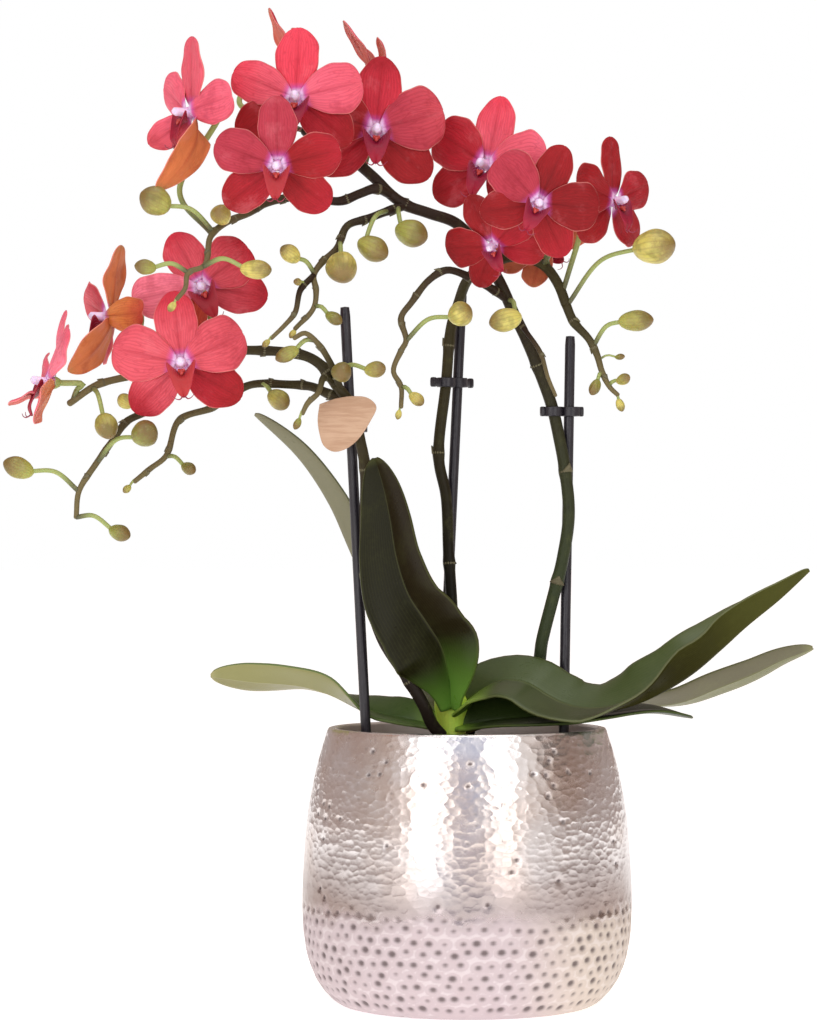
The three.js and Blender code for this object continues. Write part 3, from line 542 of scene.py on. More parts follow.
def nearest_mark(turn, height, radius, jitter, seed):
    """Distance in millimetres to the nearest of the staggered marks, and how strong that mark is, 0 to 1."""
    rng = np.random.default_rng(seed)
    shifts = rng.uniform(-jitter, jitter, (MARK_ROWS, POT_MARKS, 2))
    strengths = rng.uniform(0, 1, (MARK_ROWS, POT_MARKS))
    row = np.round((height - MARK_START) / MARK_STEP).astype(int)
    best = np.full(np.broadcast(turn, height).shape, 1e9)
    strength = np.zeros(best.shape)
    for row_step in (-1, 0, 1):
        line = row + row_step
        stagger = 0.5 * (line % 2)
        column = np.round(turn - stagger).astype(int)
        for column_step in (-1, 0, 1):
            mark = column + column_step
            which = line % MARK_ROWS, mark % POT_MARKS
            shift = shifts[which]
            across = (turn - stagger - mark) * (math.tau * radius / POT_MARKS) - shift[..., 0]
            up = height - MARK_START - line * MARK_STEP - shift[..., 1]
            reach = np.hypot(across * 0.8, up * 1.08)
            strength = np.where(reach < best, strengths[which], strength)
            best = np.minimum(best, reach)
    return best, strength


def pot_relief(turn, height, radius, settings):
    """Depth of the hammered surface in metres, and a mark.

    The mark is above 0 in a dark dimple and below 0 on the ridges round it, which are painted paler as a
    painted highlight.
    """
    around = turn / POT_MARKS * math.tau
    border = settings.band_height / MM + 1.6 * np.sin(around * 3 + 1) + 1.1 * np.sin(around * 7)
    border = border + 4.5 * np.cos(around) ** 2
    reach, strength = nearest_mark(turn, height, radius, jitter=0.8, seed=3)
    matt = 1 - smooth(border - 2, border + 6, height + 4 * (strength - 0.5))
    matt = matt * smooth(*POT_FOOT_SMOOTH, height)
    cell = np.clip(1 - (reach / DIMPLE_CELL) ** 2, -0.25, 1)
    dimple = np.exp(-((reach / (DIMPLE_RADIUS * (0.8 + 0.35 * strength))) ** 2))
    dent = dimple * (0.6 + 0.4 * strength) * matt
    ridge = smooth(*DIMPLE_RIDGE, reach) * matt
    reach, strength = nearest_mark(turn, height, radius, jitter=0.95, seed=5)
    facet = np.clip(1 - (reach / HAMMER_CELL) ** 2, -0.5, 1) * (0.35 + strength)
    top = 1 - smooth(*POT_LIP_SMOOTH, height)
    cluster = np.exp(-(((around - PIT_CLUSTER["turn"]) / PIT_CLUSTER["width"]) ** 2))
    cluster = cluster * smooth(*PIT_CLUSTER["rise"], height)
    pit = np.exp(-((reach / PIT_RADIUS) ** 2)) * (strength > 0.94 - 0.4 * cluster) * (1 - matt) * top
    depth = (dent * settings.dimple_depth + cell * settings.hammer_depth * 1.6 * matt
             + facet * (1 - matt) * top * settings.hammer_depth + pit * settings.dimple_depth * 0.6)
    return depth, np.clip(dent + pit - 0.5 * ridge, -0.5, 1)


def build_pot_shape(settings):
    profile = [(radius, 0, height) for radius, height in POT_WALL]
    wall = route_points(profile, int(route_length(profile) / POT_RING_STEP))
    radius, height = wall[:, :1], wall[:, 2:]
    turn = np.arange(POT_COLUMNS)[None, :] / (POT_COLUMNS / POT_MARKS)
    depth, inside = pot_relief(turn, height, radius, settings)
    slope = np.gradient(wall, axis=0)
    out = unit(np.stack([slope[:, 2], -slope[:, 0]], axis=1))
    rest = np.array(POT_LIP + POT_INSIDE) * MM
    plain, foot = np.ones((len(rest), POT_COLUMNS)), np.ones((1, POT_COLUMNS))
    radii = np.vstack([POT_FOOT * foot, radius * MM - depth * out[:, :1], rest[:, :1] * plain])
    outer_height = np.maximum(height * MM - depth * out[:, 1:], 0)
    heights = np.vstack([0 * foot, outer_height, rest[:, 1:] * plain])
    angle = full_turn(POT_COLUMNS)
    rings = np.stack([radii * np.cos(angle), radii * np.sin(angle), heights], axis=2)
    marks = np.vstack([0 * foot, inside, 0 * plain])
    shape = Shape()
    tube = closed_tube(rings, [0, 0, 0], [0, 0, POT_INSIDE[-1][1] * MM])
    shape.add(*tube, 0, np.concatenate([marks.ravel(), [0, 0]]))
    silver_points = POT_COLUMNS * (len(wall) + SILVER_LIP_RINGS)
    shape.slots = [int(face[0] >= silver_points) for face in shape.faces]
    return shape


def silver_material(settings):
    """Silver leaf: shiny above, with soft hammer marks, and matt below, with dark dimples."""
    material, tree = start_material("hammered silver leaf")
    where = place_coordinates(tree)
    side, _, height = add_node(tree, "ShaderNodeSeparateXYZ", {0: where}).outputs
    uneven = calc(tree, "MULTIPLY_ADD", noise_value(tree, where, 60.0), 0.016, height)
    shiny = fade(tree, uneven, settings.band_height + 0.004, settings.band_height + 0.014)
    patches = mottle_value(tree, 110.0, 1.4)
    dents = fade(tree, mark_value(tree), 0.12, 0.85)
    cloud = noise_value(tree, where, 24.0, 2.0)
    leaf = blend(tree, fade(tree, cloud, 0.4, 0.62), settings.silver, "ddcfc8")
    # Painted shade: the shiny silver is painted darker towards the bottom of its band, standing in for a dimmer
    # reflection there.
    low = fade(tree, uneven, 0.042, 0.078, 1.0, 0.0)
    leaf = blend(tree, low, leaf, "a39796")
    # Painted shade: low on both flanks the shiny silver is painted a darker brown.
    painted_flank_shade = fade(tree, calc(tree, "ABSOLUTE", side), 0.028, 0.055, 0.0, 0.9)
    leaf = blend(tree, times(tree, low, painted_flank_shade), leaf, "8f7b72")
    flat = stretch(tree, where, (1.0, 1.0, 1.45))
    inputs = {"Vector": flat, "Scale": 310.0, "Randomness": 0.85, "Smoothness": 0.45}
    cells = add_node(tree, "ShaderNodeTexVoronoi", inputs, feature="SMOOTH_F1").outputs
    own = add_node(tree, "ShaderNodeSeparateColor", {0: cells["Color"]}).outputs[0]
    # Painted shade: the hollows of the soft hammer cells are painted darker.
    painted_hollow_shade = fade(tree, cells["Distance"], 0.0, 0.4, 1.0, 0.0)
    leaf = blend(tree, times(tree, painted_hollow_shade, fade(tree, own, 0.55, 1.0, 0.0, 0.42)), leaf, "a0958f")
    matt = blend(tree, patches, settings.blush, "c4b3b5")
    # Painted light: the matt band is painted a paler cream towards the right side of the pot.
    matt = blend(tree, fade(tree, side, 0.012, 0.05, 0.0, 0.7), matt, "d9ccbb")
    skin = blend(tree, shiny, matt, leaf)
    # Painted highlight: the ridges round the dimples are painted paler.
    skin = blend(tree, fade(tree, mark_value(tree), -0.45, -0.1, 0.3, 0.0), skin, "f3ecec")
    skin = blend(tree, times(tree, dents, 0.85), skin, settings.tarnish)
    polish = calc(tree, "MULTIPLY_ADD", patches, 0.2, 0.14)
    worn = calc(tree, "ADD", polish, times(tree, dents, 0.4))
    rough = calc(tree, "MAXIMUM", fade(tree, shiny, 0.0, 1.0, 0.55, 0.0), worn)
    bowl = calc(tree, "POWER", cells["Distance"], 2.0)
    bowl = times(tree, bowl, fade(tree, uneven, 0.042, 0.085, 0.3, 1.0))
    bowl = times(tree, bowl, calc(tree, "MULTIPLY_ADD", own, 1.2, 0.5))
    relief = calc(tree, "MULTIPLY_ADD", noise_value(tree, where, 620.0, 3.0), 0.12, bowl)
    metallic = fade(tree, shiny, 0.0, 1.0, 0.35, 0.94)
    return finish_material(material, skin, rough, (relief, 0.25, 0.0008), metallic=metallic)


class OrchidPotOperator(bpy.types.Operator):
    """Adds the hammered silver cover pot"""

    bl_idname = "orchid.add_pot"
    bl_label = "Cover pot"

    def execute(self, context):
        settings = context.scene.orchid_pot
        tones = (settings.inner_wall, "dccdc8")
        inner = mottled_material("pot inner wall", (60.0, 1.0), tones, (0.3, 0.7, 0.4, 0.6), (0.2, 0.0004))
        place("cover_pot", build_pot_shape(settings), [silver_material(settings), inner], ["pot"])
        return {"FINISHED"}


# Grow pot and bark

GROW_WALL = [(0.5, 5.3), (36, 5.3), (38, 6), (46.4, 99), (46.6, 100.4), (47.4, 100.2), (48.4, 100.8),
             (48.7, 101.9), (48.3, 103), (47.3, 103.4), (46.1, 103), (45.6, 101), (37.2, 7.6), (36, 6.4),
             (0.5, 6.4)]
BARK_WALL = [(0.5, 6.7), (36.4, 6.7), (44.6, 94.6), (42, 96), (36, 97.2), (27, 98.2), (18, 99), (9, 99.8),
             (0.5, 100)]
GROW_SIDES, BARK_SIDES = 96, 72
BARK_FLAKES = 130
BARK_REACH = 41.5
BARK_TOP = 100.4
BARK_FALL = 4.2
GOLDEN_TURN = 2.39996
FLAKE_RINGS = ((-1, 0.7), (-0.75, 0.95), (0, 1.0), (0.7, 0.93), (1, 0.66))
FLAKE_SIDES = 14


class OrchidGrowPotOperator(bpy.types.Operator):
    """Adds the thin inner pot with its rolled lip"""

    bl_idname = "orchid.add_grow_pot"
    bl_label = "Grow pot"

    def execute(self, context):
        shape = Shape()
        shape.add(*closed_tube(turned_rings(GROW_WALL, GROW_SIDES)))
        tones = (context.scene.orchid_hardware.grow_pot, "7b8078")
        material = mottled_material(
            "smoky nursery plastic", (220.0, 1.2), tones, (0.3, 0.7, 0.22, 0.4), (0.15, 0.0003)
        )
        place("nursery_pot", shape, [material], ["grow_pot"], crease=50)
        return {"FINISHED"}


def bark_material(settings):
    material, tree = start_material("bark mix")
    mottle = mottle_value(tree, 260.0, 2.0)
    own = mark_value(tree)
    chunk = blend(tree, own, settings.bark, "8a5536")
    chunk = blend(tree, fade(tree, own, 0.75, 1.0), chunk, "8d7c68")
    bark = blend(tree, mottle, "2a1a12", chunk)
    ridges = noise_value(tree, stretch(tree, place_coordinates(tree), (1.0, 4.0, 3.0)), 300.0, 5.0, 0.7)
    return finish_material(material, bark, fade(tree, ridges, 0.2, 0.8, 0.95, 0.7), (ridges, 0.9, 0.0012))


def add_bark_chunk(shape, centre, size, rng):
    """An uneven flake of bark with broken edges."""
    turn = Matrix.Rotation(rng.uniform(0, math.tau), 3, "Z") @ Matrix.Rotation(rng.uniform(-0.5, 0.5), 3, "X")
    turn = np.array(turn @ Matrix.Rotation(rng.uniform(-0.5, 0.5), 3, "Y"))
    around = full_turn(FLAKE_SIDES)
    square = (np.abs(np.cos(around)) ** 4 + np.abs(np.sin(around)) ** 4) ** -0.25
    rings = []
    for level, share in FLAKE_RINGS:
        reach = square * share * rng.uniform(0.86, 1.14, FLAKE_SIDES)
        high = level + rng.uniform(-0.14, 0.14, FLAKE_SIDES)
        rings.append(np.stack([np.cos(around) * reach, np.sin(around) * reach, high], axis=1) * size)
    tube = closed_tube(np.array(rings) @ turn.T + centre)
    shape.add(*tube, 0, rng.uniform(0, 1))


def build_bark_shape():
    rng = np.random.default_rng(11)
    shape = Shape()
    rings = turned_rings(BARK_WALL, BARK_SIDES)
    rings[3:, :, 2] += rng.uniform(-0.9, 0.4, rings[3:, :, 2].shape) * MM
    shape.add(*closed_tube(rings), 0, 0.2)
    for i in range(BARK_FLAKES):
        reach = BARK_REACH * math.sqrt((i + 0.5) / BARK_FLAKES)
        turn = i * GOLDEN_TURN
        height = BARK_TOP - BARK_FALL * (reach / BARK_REACH) ** 2 + rng.uniform(-1.2, 0.8)
        size = np.array([rng.uniform(3.2, 6.2), rng.uniform(2.2, 4.2), rng.uniform(1.2, 2.3)]) * MM
        centre = np.array([reach * math.cos(turn), reach * math.sin(turn), height]) * MM
        add_bark_chunk(shape, centre, size, rng)
    return shape


class OrchidBarkOperator(bpy.types.Operator):
    """Adds the bark mix with its loose flakes"""

    bl_idname = "orchid.add_bark"
    bl_label = "Bark mix"

    def execute(self, context):
        material = bark_material(context.scene.orchid_plant)
        place("bark_mix", build_bark_shape(), [material], ["bark"], crease=40)
        return {"FINISHED"}


# Crown and roots

CROWN_CENTRE = (-6.0, 1.0)
CROWN_PROFILE = [(0.4, 92), (6.5, 93), (7.6, 97), (7.2, 101), (5.8, 105), (5.2, 109), (5.6, 113),
                 (6.6, 117.5), (6.6, 121), (5, 124), (2.6, 125.6), (0.4, 126)]
ROOTS = [
    [(-9, -1, 101), (-22, -10, 92), (-24, -16, 70), (-18, -18, 48)],
    [(-1, -2, 101), (12, -14, 90), (16, -20, 66), (10, -16, 44)],
    [(-1, 5, 101), (16, 14, 92), (24, 12, 70), (22, 4, 50)],
    [(-7, 7, 101), (-17, 16, 90), (-24, 16, 68), (-22, 8, 46)],
    [(-4, 2, 96), (-4, 2, 80), (-2, 0, 60), (0, -2, 36)],
]
CROWN_SIDES = 40
ROOT_RADII = (2.6, 1.8)


def crown_material(name, young, shade):
    material, tree = start_material(name)
    mottle = mottle_value(tree, 150.0, 1.3)
    lines = times(tree, vein_values(tree, 26.0, 1.0, 0.16, 0.3)["Lines"], 0.25)
    skin = blend(tree, lines, blend(tree, mottle, shade, young), shade)
    bump = (calc(tree, "ADD", mottle, lines), 0.3, 0.0006)
    rough = gloss(tree, mottle, 0.36, 0.5)
    return finish_material(material, skin, rough, bump, subsurface_weight=0.12, subsurface_scale=0.002)


class OrchidCrownOperator(bpy.types.Operator):
    """Adds the crown that carries the leaves, and its roots"""

    bl_idname = "orchid.add_crown"
    bl_label = "Crown and roots"

    def execute(self, context):
        settings = context.scene.orchid_plant
        shape = Shape()
        rings = turned_rings(CROWN_PROFILE, CROWN_SIDES)
        rings[:, :, :2] *= 1 + 0.05 * np.cos(2 * full_turn(CROWN_SIDES))[None, :, None]
        shape.add(*closed_tube(rings + np.array([*CROWN_CENTRE, 0]) * MM))
        for route in ROOTS:
            add_stem(shape, route, ROOT_RADII, step=2 * MM, slot=1)
        skins = (("crown skin", settings.crown, "b2dc48"), ("root skin", settings.root, "8f9a76"))
        materials = [crown_material(*skin) for skin in skins]
        place("crown_and_roots", shape, materials, ["crown"])
        return {"FINISHED"}


# Leaves: the route and where the upper face looks along it, half the width of the blade and of its base, the
# neck's length, the fold at the midrib in degrees, how far back the widest place is, the reach of the young
# base, the dry share of the tip, the gloss of both faces, and their tones of base, blade, the tint and painted
# shade of one half, and edge

LEAVES = {
    "leaf_upright": {
        "route": [(-6, -5, 118), (-7, -10, 130), (-10, -15, 142), (-16, -19, 152), (-23, -22, 163),
                  (-27.5, -24, 177), (-30, -26, 192), (-32.5, -27, 204), (-36, -28, 216)],
        "face": [(-0.2, -1, 0.4), (-0.4, -1, 0.1), (-0.3, -1, 0)],
        "half": 22.5, "base": 5, "neck": 0.31, "fold": (46, 34, 30), "wide": 0.46, "young": 0.32,
        "upper": ("70a03e", "1d1c0b", "231b0e", "565a30"), "under": ("6a8038", "3a4326", "3f3826", "6a6d48"),
    },
    "leaf_left_high": {
        "route": [(-10, 4, 114), (-18, 10, 125), (-29.5, 15, 144), (-38, 18, 162), (-47, 20, 183),
                  (-54.3, 21, 199), (-66.5, 21, 217), (-84.5, 20, 234)],
        "face": [(0.5, -0.3, 0.6), (0.9, 0.15, 0.4), (0.7, 0.2, 0.8)],
        "half": 15, "base": 5, "neck": 0.15, "fold": (50, 24, 16), "wide": 0.9,
        "upper": ("86a83a", "464c30", "4c4a32", "7c7a5c"), "under": ("86a83a", "7c7a60", "66644c", "9a967c"),
    },
    "leaf_left_low": {
        "route": [(-10, 2, 109), (-19, 5, 111.5), (-27, 7, 113), (-35, 9, 114.3), (-42, 11, 117.2),
                  (-54, 14, 123), (-66, 16, 126.4), (-86, 19, 127.8), (-102, 20, 129.5)],
        "face": [(0, -0.8, 0.8), (0, -0.7, 0.9), (0, -0.4, 1), (0, 0, 1), (0, 0.27, 1), (0, 0.34, 1),
                 (0, 0.5, 1), (0, 0.6, 1), (0, 0.6, 1)],
        "half": 16, "base": 5, "neck": 0.1, "fold": (40, 18, 10, 8, 6), "wide": 1.15,
        "upper": ("7ea03c", "4c6230", "465a2c", "7f8a58"), "under": ("7a9446", "8c8a58", "84804e", "aaa678"),
    },
    "leaf_right_high": {
        "route": [(-3, 0, 115), (4, -4, 123), (13, -8, 128.3), (23, -12, 127.5), (31, -15, 122.8),
                  (38, -18, 119.4), (46, -20, 117.9), (54, -22, 118.3), (65, -24, 121), (77, -24.5, 126.5),
                  (88, -24, 133.5), (98.5, -21, 142.2), (108.5, -18.5, 151), (122, -15, 161.5),
                  (134, -11, 172)],
        "face": [(0, -0.54, 0.84), (0, -0.54, 0.84), (0, -0.41, 0.91), (0, -0.32, 0.95), (0, -0.26, 0.95),
                 (0, -0.05, 0.98), (0, 0.06, 0.98), (0, 0.14, 0.98), (0, 0.2, 0.98)],
        "half": 19.5, "base": 6, "neck": 0.02, "fold": (45, 10, 6, 8, 28, 46, 44, 36, 25), "wide": 0.88,
        "gloss": (0.4, 0.003), "tip": 0.5,
        "upper": ("96bc3c", "414f26", "30331a", "6e7345"), "under": ("5f7a32", "1b200c", "28260f", "5c5e2e"),
    },
    "leaf_right_middle": {
        "route": [(-2, 4, 108), (18, 16, 113), (42, 26, 116.5), (64, 28, 117.5), (85, 27, 119),
                  (101, 25, 125), (115, 23, 130.6), (126, 21, 136), (138.4, 19, 140.6)],
        "face": [(0, -0.2, 1), (0, 0, 1), (0, 0.1, 1), (-0.1, 0.35, 1), (-0.2, 0.6, 0.95),
                 (-0.2, 0.65, 0.95)],
        "half": 11, "base": 5, "neck": 0.08, "fold": (36, 12, 8), "wide": 1.4,
        "upper": ("6a8a34", "444a2c", "46472e", "767450"), "under": ("66703f", "70714a", "686450", "8f9160"),
    },
    "leaf_right_low": {
        "route": [(-3, -1, 110), (14, -9, 113), (32, -15, 114.5), (54, -16, 115.5), (72, -15, 117),
                  (88, -12, 114.5)],
        "face": [(0, -0.8, 0.8), (0, -0.6, 0.9), (0, -0.35, 1), (0, -0.1, 1), (0, -0.1, 1)],
        "half": 13.5, "base": 5, "neck": 0.06, "fold": (36, 10, 8), "wide": 0.8,
        "upper": ("7a9c38", "2c3a18", "28331a", "5c6a34"), "under": ("46582c", "333c20", "303a22", "5c6442"),
    },
}
PLAIN_GLOSS = (0.14, 0.14)
LEAF_ROWS, LEAF_COLUMNS = 73, 25


def leaf_surface(leaf, seed):
    """The middle surface of a leaf, folded along its midrib, with a slight wave to its edges."""
    waves = np.random.default_rng(seed).uniform(0, math.tau, 4)
    route = np.array(leaf["route"], float) * MM
    dense = np.linspace(0, 1, 400)

    def surface(s, t):
        rows = s[:, 0]
        point = spline_even(route, rows)[0]
        ahead = unit(np.gradient(spline_even(route, dense)[0], axis=0))
        ahead = unit(np.stack([np.interp(rows, dense, ahead[:, i]) for i in range(3)], axis=1))
        up = spline_at(leaf["face"], rows)
        up = unit(up - ahead * np.sum(up * ahead, axis=1, keepdims=True))
        side = np.cross(ahead, up)
        roundness = 0.7 - 0.22 * smooth(0.5, 1, rows)
        swell = np.sin(math.pi * (0.002 + 0.9965 * rows) ** leaf["wide"]) ** roundness
        swell = swell * smooth(-0.2 * leaf["neck"], leaf["neck"], rows)
        half = (leaf["half"] * swell + leaf["base"] * (1 - rows) ** 6) * MM
        fold = np.radians(np.interp(rows, np.linspace(0, 1, len(leaf["fold"])), leaf["fold"]))
        across = np.abs(t) * half[:, None]
        wave = np.sin(rows * 9 + waves[0]) + 0.6 * np.sin(rows * 17 + waves[1])
        other_wave = np.sin(rows * 8 + waves[2]) + 0.6 * np.sin(rows * 15 + waves[3])
        edge_wave = np.where(t > 0, wave[:, None], other_wave[:, None]) * t**2 * 0.35 * MM
        round_fold = across * (1 - np.exp(-np.abs(t) * 9)) * np.sin(fold)[:, None]
        middle = point[:, None] + side[:, None] * (np.sign(t) * across * np.cos(fold)[:, None])[..., None]
        groove = -0.5 * MM * np.exp(-((t / 0.05) ** 2)) * (1 - rows[:, None])
        return middle + up[:, None] * (round_fold + edge_wave + groove)[..., None]

    return surface


def leaf_material(name, tones, leaf, sheen):
    """Leathery skin. The tones are those of its young base, its blade, the tint of one half, partly its own
    colour and partly painted shade, and its edge.
    """
    base, blade, half_tint_and_shade, edge = tones
    material, tree = start_material(name)
    across, along = surface_coordinates(tree)
    mottle = mottle_value(tree, 70.0, 1.5)
    warped = calc(tree, "MULTIPLY_ADD", mottle, 0.1, across)
    # One half of the blade takes a darker tint, partly its own colour and partly painted shade on that half.
    half = times(tree, fade(tree, warped, 0.5, 0.62), fade(tree, along, 0.2, 0.5, 0.35, 1.0))
    skin = blend(tree, half, blade, half_tint_and_shade)
    # Painted light and shade: the lime base is painted reaching a little further along one half than along the
    # other.
    young = calc(tree, "ADD", fade(tree, across, 0.4, 0.55, 0.09, 0.0), along)
    skin = blend(tree, fade(tree, young, 0.02, leaf.get("young", 0.15)), base, skin)
    lines = times(tree, vein_values(tree, 30.0, 2.0, 0.22, 0.25)["Lines"], 0.08)
    rib = fade(tree, from_middle(tree, across), 0.0, 0.022, 1.0, 0.0)
    for amount in (
        fade(tree, along, 0.55, 0.92, 0.0, leaf.get("tip", 0.0)),
        fade(tree, mottle, 0.4, 0.9, 0.0, 0.14),
        lines,
        times(tree, rib, 0.4),
        times(tree, margin_value(tree, 0.035), 0.4),
    ):
        skin = blend(tree, amount, skin, edge)
    pores = noise_value(tree, place_coordinates(tree), 900.0, 2.0)
    height = calc(tree, "MULTIPLY_ADD", pores, 0.25, calc(tree, "ADD", lines, rib))
    rough = gloss(tree, mottle, 0.26, 0.4)
    return finish_material(material, skin, rough, (height, 0.3, 0.0006), specular_ior_level=sheen)


class OrchidLeavesOperator(bpy.types.Operator):
    """Adds the six strap leaves"""

    bl_idname = "orchid.add_leaves"
    bl_label = "Leaves"

    def execute(self, context):
        thickness = context.scene.orchid_plant.leaf_thickness
        rows = np.sin(np.linspace(0, 1, LEAF_ROWS) * math.pi / 2) ** 1.15
        columns = np.linspace(-1, 1, LEAF_COLUMNS)
        for seed, (node, leaf) in enumerate(LEAVES.items()):
            shape = Shape()
            add_blade(shape, leaf_surface(leaf, seed), rows, columns, thickness)
            materials = [
                leaf_material(f"{node.replace('_', ' ')} {face} face", leaf[face], leaf, sheen)
                for face, sheen in zip(("upper", "under"), leaf.get("gloss", PLAIN_GLOSS))
            ]
            place(node.replace("leaf", "strap_leaf"), shape, materials, [node])
        return {"FINISHED"}


# Flower spikes: their stems and branches, then their buds as centre, root, length, width and, where it
# isn't along the stalk, the way that the bud points

SPIKES = {
    "spike_left": {
        "stems": [
            {"radii": (2.5, 2.1), "route": [(-10, -8, 107), (-14, -11, 112), (-17, -14, 119), (-24, -16, 131),
                (-33, -16, 145), (-38, -16, 161), (-40, -16, 184), (-40, -19, 212), (-42, -20.5, 223),
                (-45, -22, 236), (-51, -24, 244)]},
            {"radii": (2.1, 1.3), "route": [(-51, -24, 244), (-57, -24, 252), (-64, -23, 256),
                (-85, -22, 258), (-98, -23, 257), (-112, -25, 253), (-130, -28, 248), (-144, -32, 244),
                (-154, -35, 237)]},
            {"radii": (1.9, 1.0), "route": [(-47, -23, 239), (-54, -20, 241), (-61, -16, 244),
                (-71, -12, 245), (-85, -8, 245), (-93, -8, 241), (-100, -10, 236), (-113, -12, 231),
                (-118, -14, 217), (-124, -16, 212), (-130, -18, 207)]},
            {"radii": (1.7, 1.0), "route": [(-112, -25, 253), (-117, -28, 244), (-123, -31, 235),
                (-132, -34, 230), (-137, -36, 223), (-144, -38, 213), (-150, -40, 203), (-151, -41, 193)]},
            {"radii": (1.5, 0.9), "route": [(-49, -24, 242), (-53, -30, 252), (-58, -34, 260),
                (-63, -37, 264), (-67, -40, 262)]},
            {"radii": (1.4, 0.9), "route": [(-52, -24, 246), (-56, -31, 247), (-58, -35, 241),
                (-62, -37, 237), (-64, -38, 233)]},
        ],
        "buds": [
            ((-173, -43, 212), (-150, -40, 203), 12.5, 8.5), ((-134, -45, 187), (-151, -41, 193), 9, 6.5),
            ((-124, -52, 225), (-143, -38, 214), 11, 10.5), ((-139, -46, 228), (-145, -33, 242), 12, 9),
            ((-133, -26, 238), (-126, -32, 234), 8, 6), ((-109, -18, 212), (-118, -14, 217), 6.5, 5),
            ((-133, -19, 204), (-129, -18, 208), 4, 3), ((-74, -14, 239), (-82, -8, 245), 10.5, 8),
            ((-70, -35, 256), (-60, -34, 261), 10, 6), ((-49, -37, 249), (-52, -31, 247), 8.5, 8),
            ((-36, -38, 250), (-50, -29, 248), 9.5, 6.5), ((-66, -39, 229), (-63, -38, 235), 5, 3),
        ],
    },
    "spike_middle": {
        "stems": [
            {"radii": (2.4, 2.0), "route": [(1, 9, 107), (0, 14, 117), (-3, 18, 132), (-5, 20, 146),
                (-6, 20.5, 162), (-7, 22, 178), (-8, 24, 201), (-11, 24.5, 217), (-8, 25, 247), (-6, 26, 269),
                (-3, 27, 279), (0, 22, 287), (5, 15, 292), (10, 12, 294), (16, 9, 296), (23, 5, 296),
                (31, 2, 292), (36, 0, 285), (39, -2, 277)]},
            {"radii": (1.9, 0.9), "route": [(39, -2, 277), (42, -3, 270), (48, -5, 263), (51, -6, 257),
                (53, -8, 250), (56, -9, 244), (59, -10, 241)]},
        ],
        "buds": [
            ((73, -14, 299), (41, -2, 277), 17.5, 14, (0.9, -0.35, 0.1)),
            ((66, -12, 270), (51, -6, 261), 14, 8.5, (1, -0.1, 0.05)),
            ((50, -11, 244), (53, -8, 250), 7.5, 4.5), ((61, -13, 247), (56, -9, 245), 6.5, 4.5),
            ((60, -10, 237), (58, -10, 241), 5.5, 3.5), ((60, -8, 256), (53, -6, 255), 4, 2.5),
        ],
    },
    "spike_right": {
        "stems": [
            {"radii": (2.6, 2.1), "route": [(3, 6, 111), (11, 10, 117), (20, 12, 124), (28, 11, 133),
                (30, 9, 144), (34, 8, 160), (38, 7, 176), (40.5, 7, 194), (39, 9, 212), (36.5, 11, 226),
                (34, 12, 237), (29, 12, 251), (23.5, 9, 264), (18.5, 6, 274), (13, 4, 286), (5, 3, 299),
                (-4, 2, 309), (-15, 0, 313), (-24, -2, 316), (-30, -4, 320), (-36, -5, 326), (-45, -2, 334),
                (-54, 2, 341), (-64, 6, 346)]},
            {"radii": (1.7, 0.9), "route": [(16, 5, 279), (10, 0, 283), (2, -5, 287), (-8, -9, 290),
                (-15, -11, 286), (-22, -13, 277), (-26, -14, 271), (-24, -16, 262), (-26, -17, 258),
                (-29, -18, 250), (-26, -19, 244), (-26, -20, 236)]},
            {"radii": (1.8, 0.9), "route": [(-24, -2, 316), (-32, -8, 313), (-39, -12, 310), (-47, -15, 307),
                (-51, -19, 298), (-57, -22, 292), (-60, -24, 287), (-59, -26, 281), (-60, -28, 274),
                (-67, -31, 266)]},
            {"radii": (1.3, 0.8), "route": [(-60, -24, 287), (-65, -30, 281), (-67, -34, 272),
                (-71, -36, 267), (-76, -38, 262)]},
            {"radii": (1.9, 0.9), "route": [(-30, -4, 320), (-36, -9, 322), (-42, -10, 320), (-50, -10, 317),
                (-60, -12, 318), (-69, -16, 318), (-79, -22, 315), (-85, -28, 311), (-93, -36, 307),
                (-99, -44, 301), (-101, -55, 289), (-107, -58, 286), (-108, -60, 280), (-111, -61, 276)]},
            {"radii": (1.1, 0.7), "route": [(18, 6, 274), (23, 3, 267), (29, 0, 258), (32, -1, 248),
                (35, 0, 241)]},
        ],
        "buds": [
            ((-120, -50, 314), (-98, -42, 303), 13, 11.5), ((-95, -45, 309), (-93, -36, 307), 11, 8),
            ((-123, -62, 288), (-107, -58, 286), 8.5, 6), ((-81, -64, 287), (-102, -56, 289), 13, 7.5),
            ((-69, -30, 295), (-60, -24, 288), 9.5, 7), ((-66, -33, 284), (-63, -28, 283), 4, 3),
            ((-52, -32, 270), (-60, -28, 275), 8, 5), ((-49, -28, 290), (-50, -18, 300), 13.5, 12.5),
            ((-37, -24, 297.5), (-30, -7, 314), 13.5, 10, (0.9, -0.3, -0.5)),
            ((-22, -17, 304), (-27, -4, 315), 13.5, 11, (1, -0.2, -0.35)),
            ((-3, -26, 272), (-24, -16, 262), 10, 10), ((-20, -23, 239), (-26, -19, 244), 7.5, 5),
            ((15, -8, 270.5), (19, 3, 279), 13.5, 9.5, (-1, -0.2, -0.25)),
            ((-27, -20, 233), (-26, -20, 237), 4, 2.6), ((-78, -39, 260), (-75, -38, 263), 4, 2.6),
            ((-68, -31, 264), (-66, -31, 267), 4, 2.6), ((-113, -61, 273), (-110, -61, 277), 4.5, 3),
        ],
    },
}
MAIN_STEM = {"gap": 44, "marks": (0.0, 1.0), "sheath": 3.4}
BRANCH = {"gap": 13, "marks": (0.75, 1.8), "sheath": 2.2}
STALK_SLOT, BUD_SLOT, SHEATH_SLOT = 1, 2, 3
STALK_RADII = (1.05, 1.2)
STALK_END = Vector((0, 0, -3.05))
STALK_BEND = Vector((0, 0, -12))
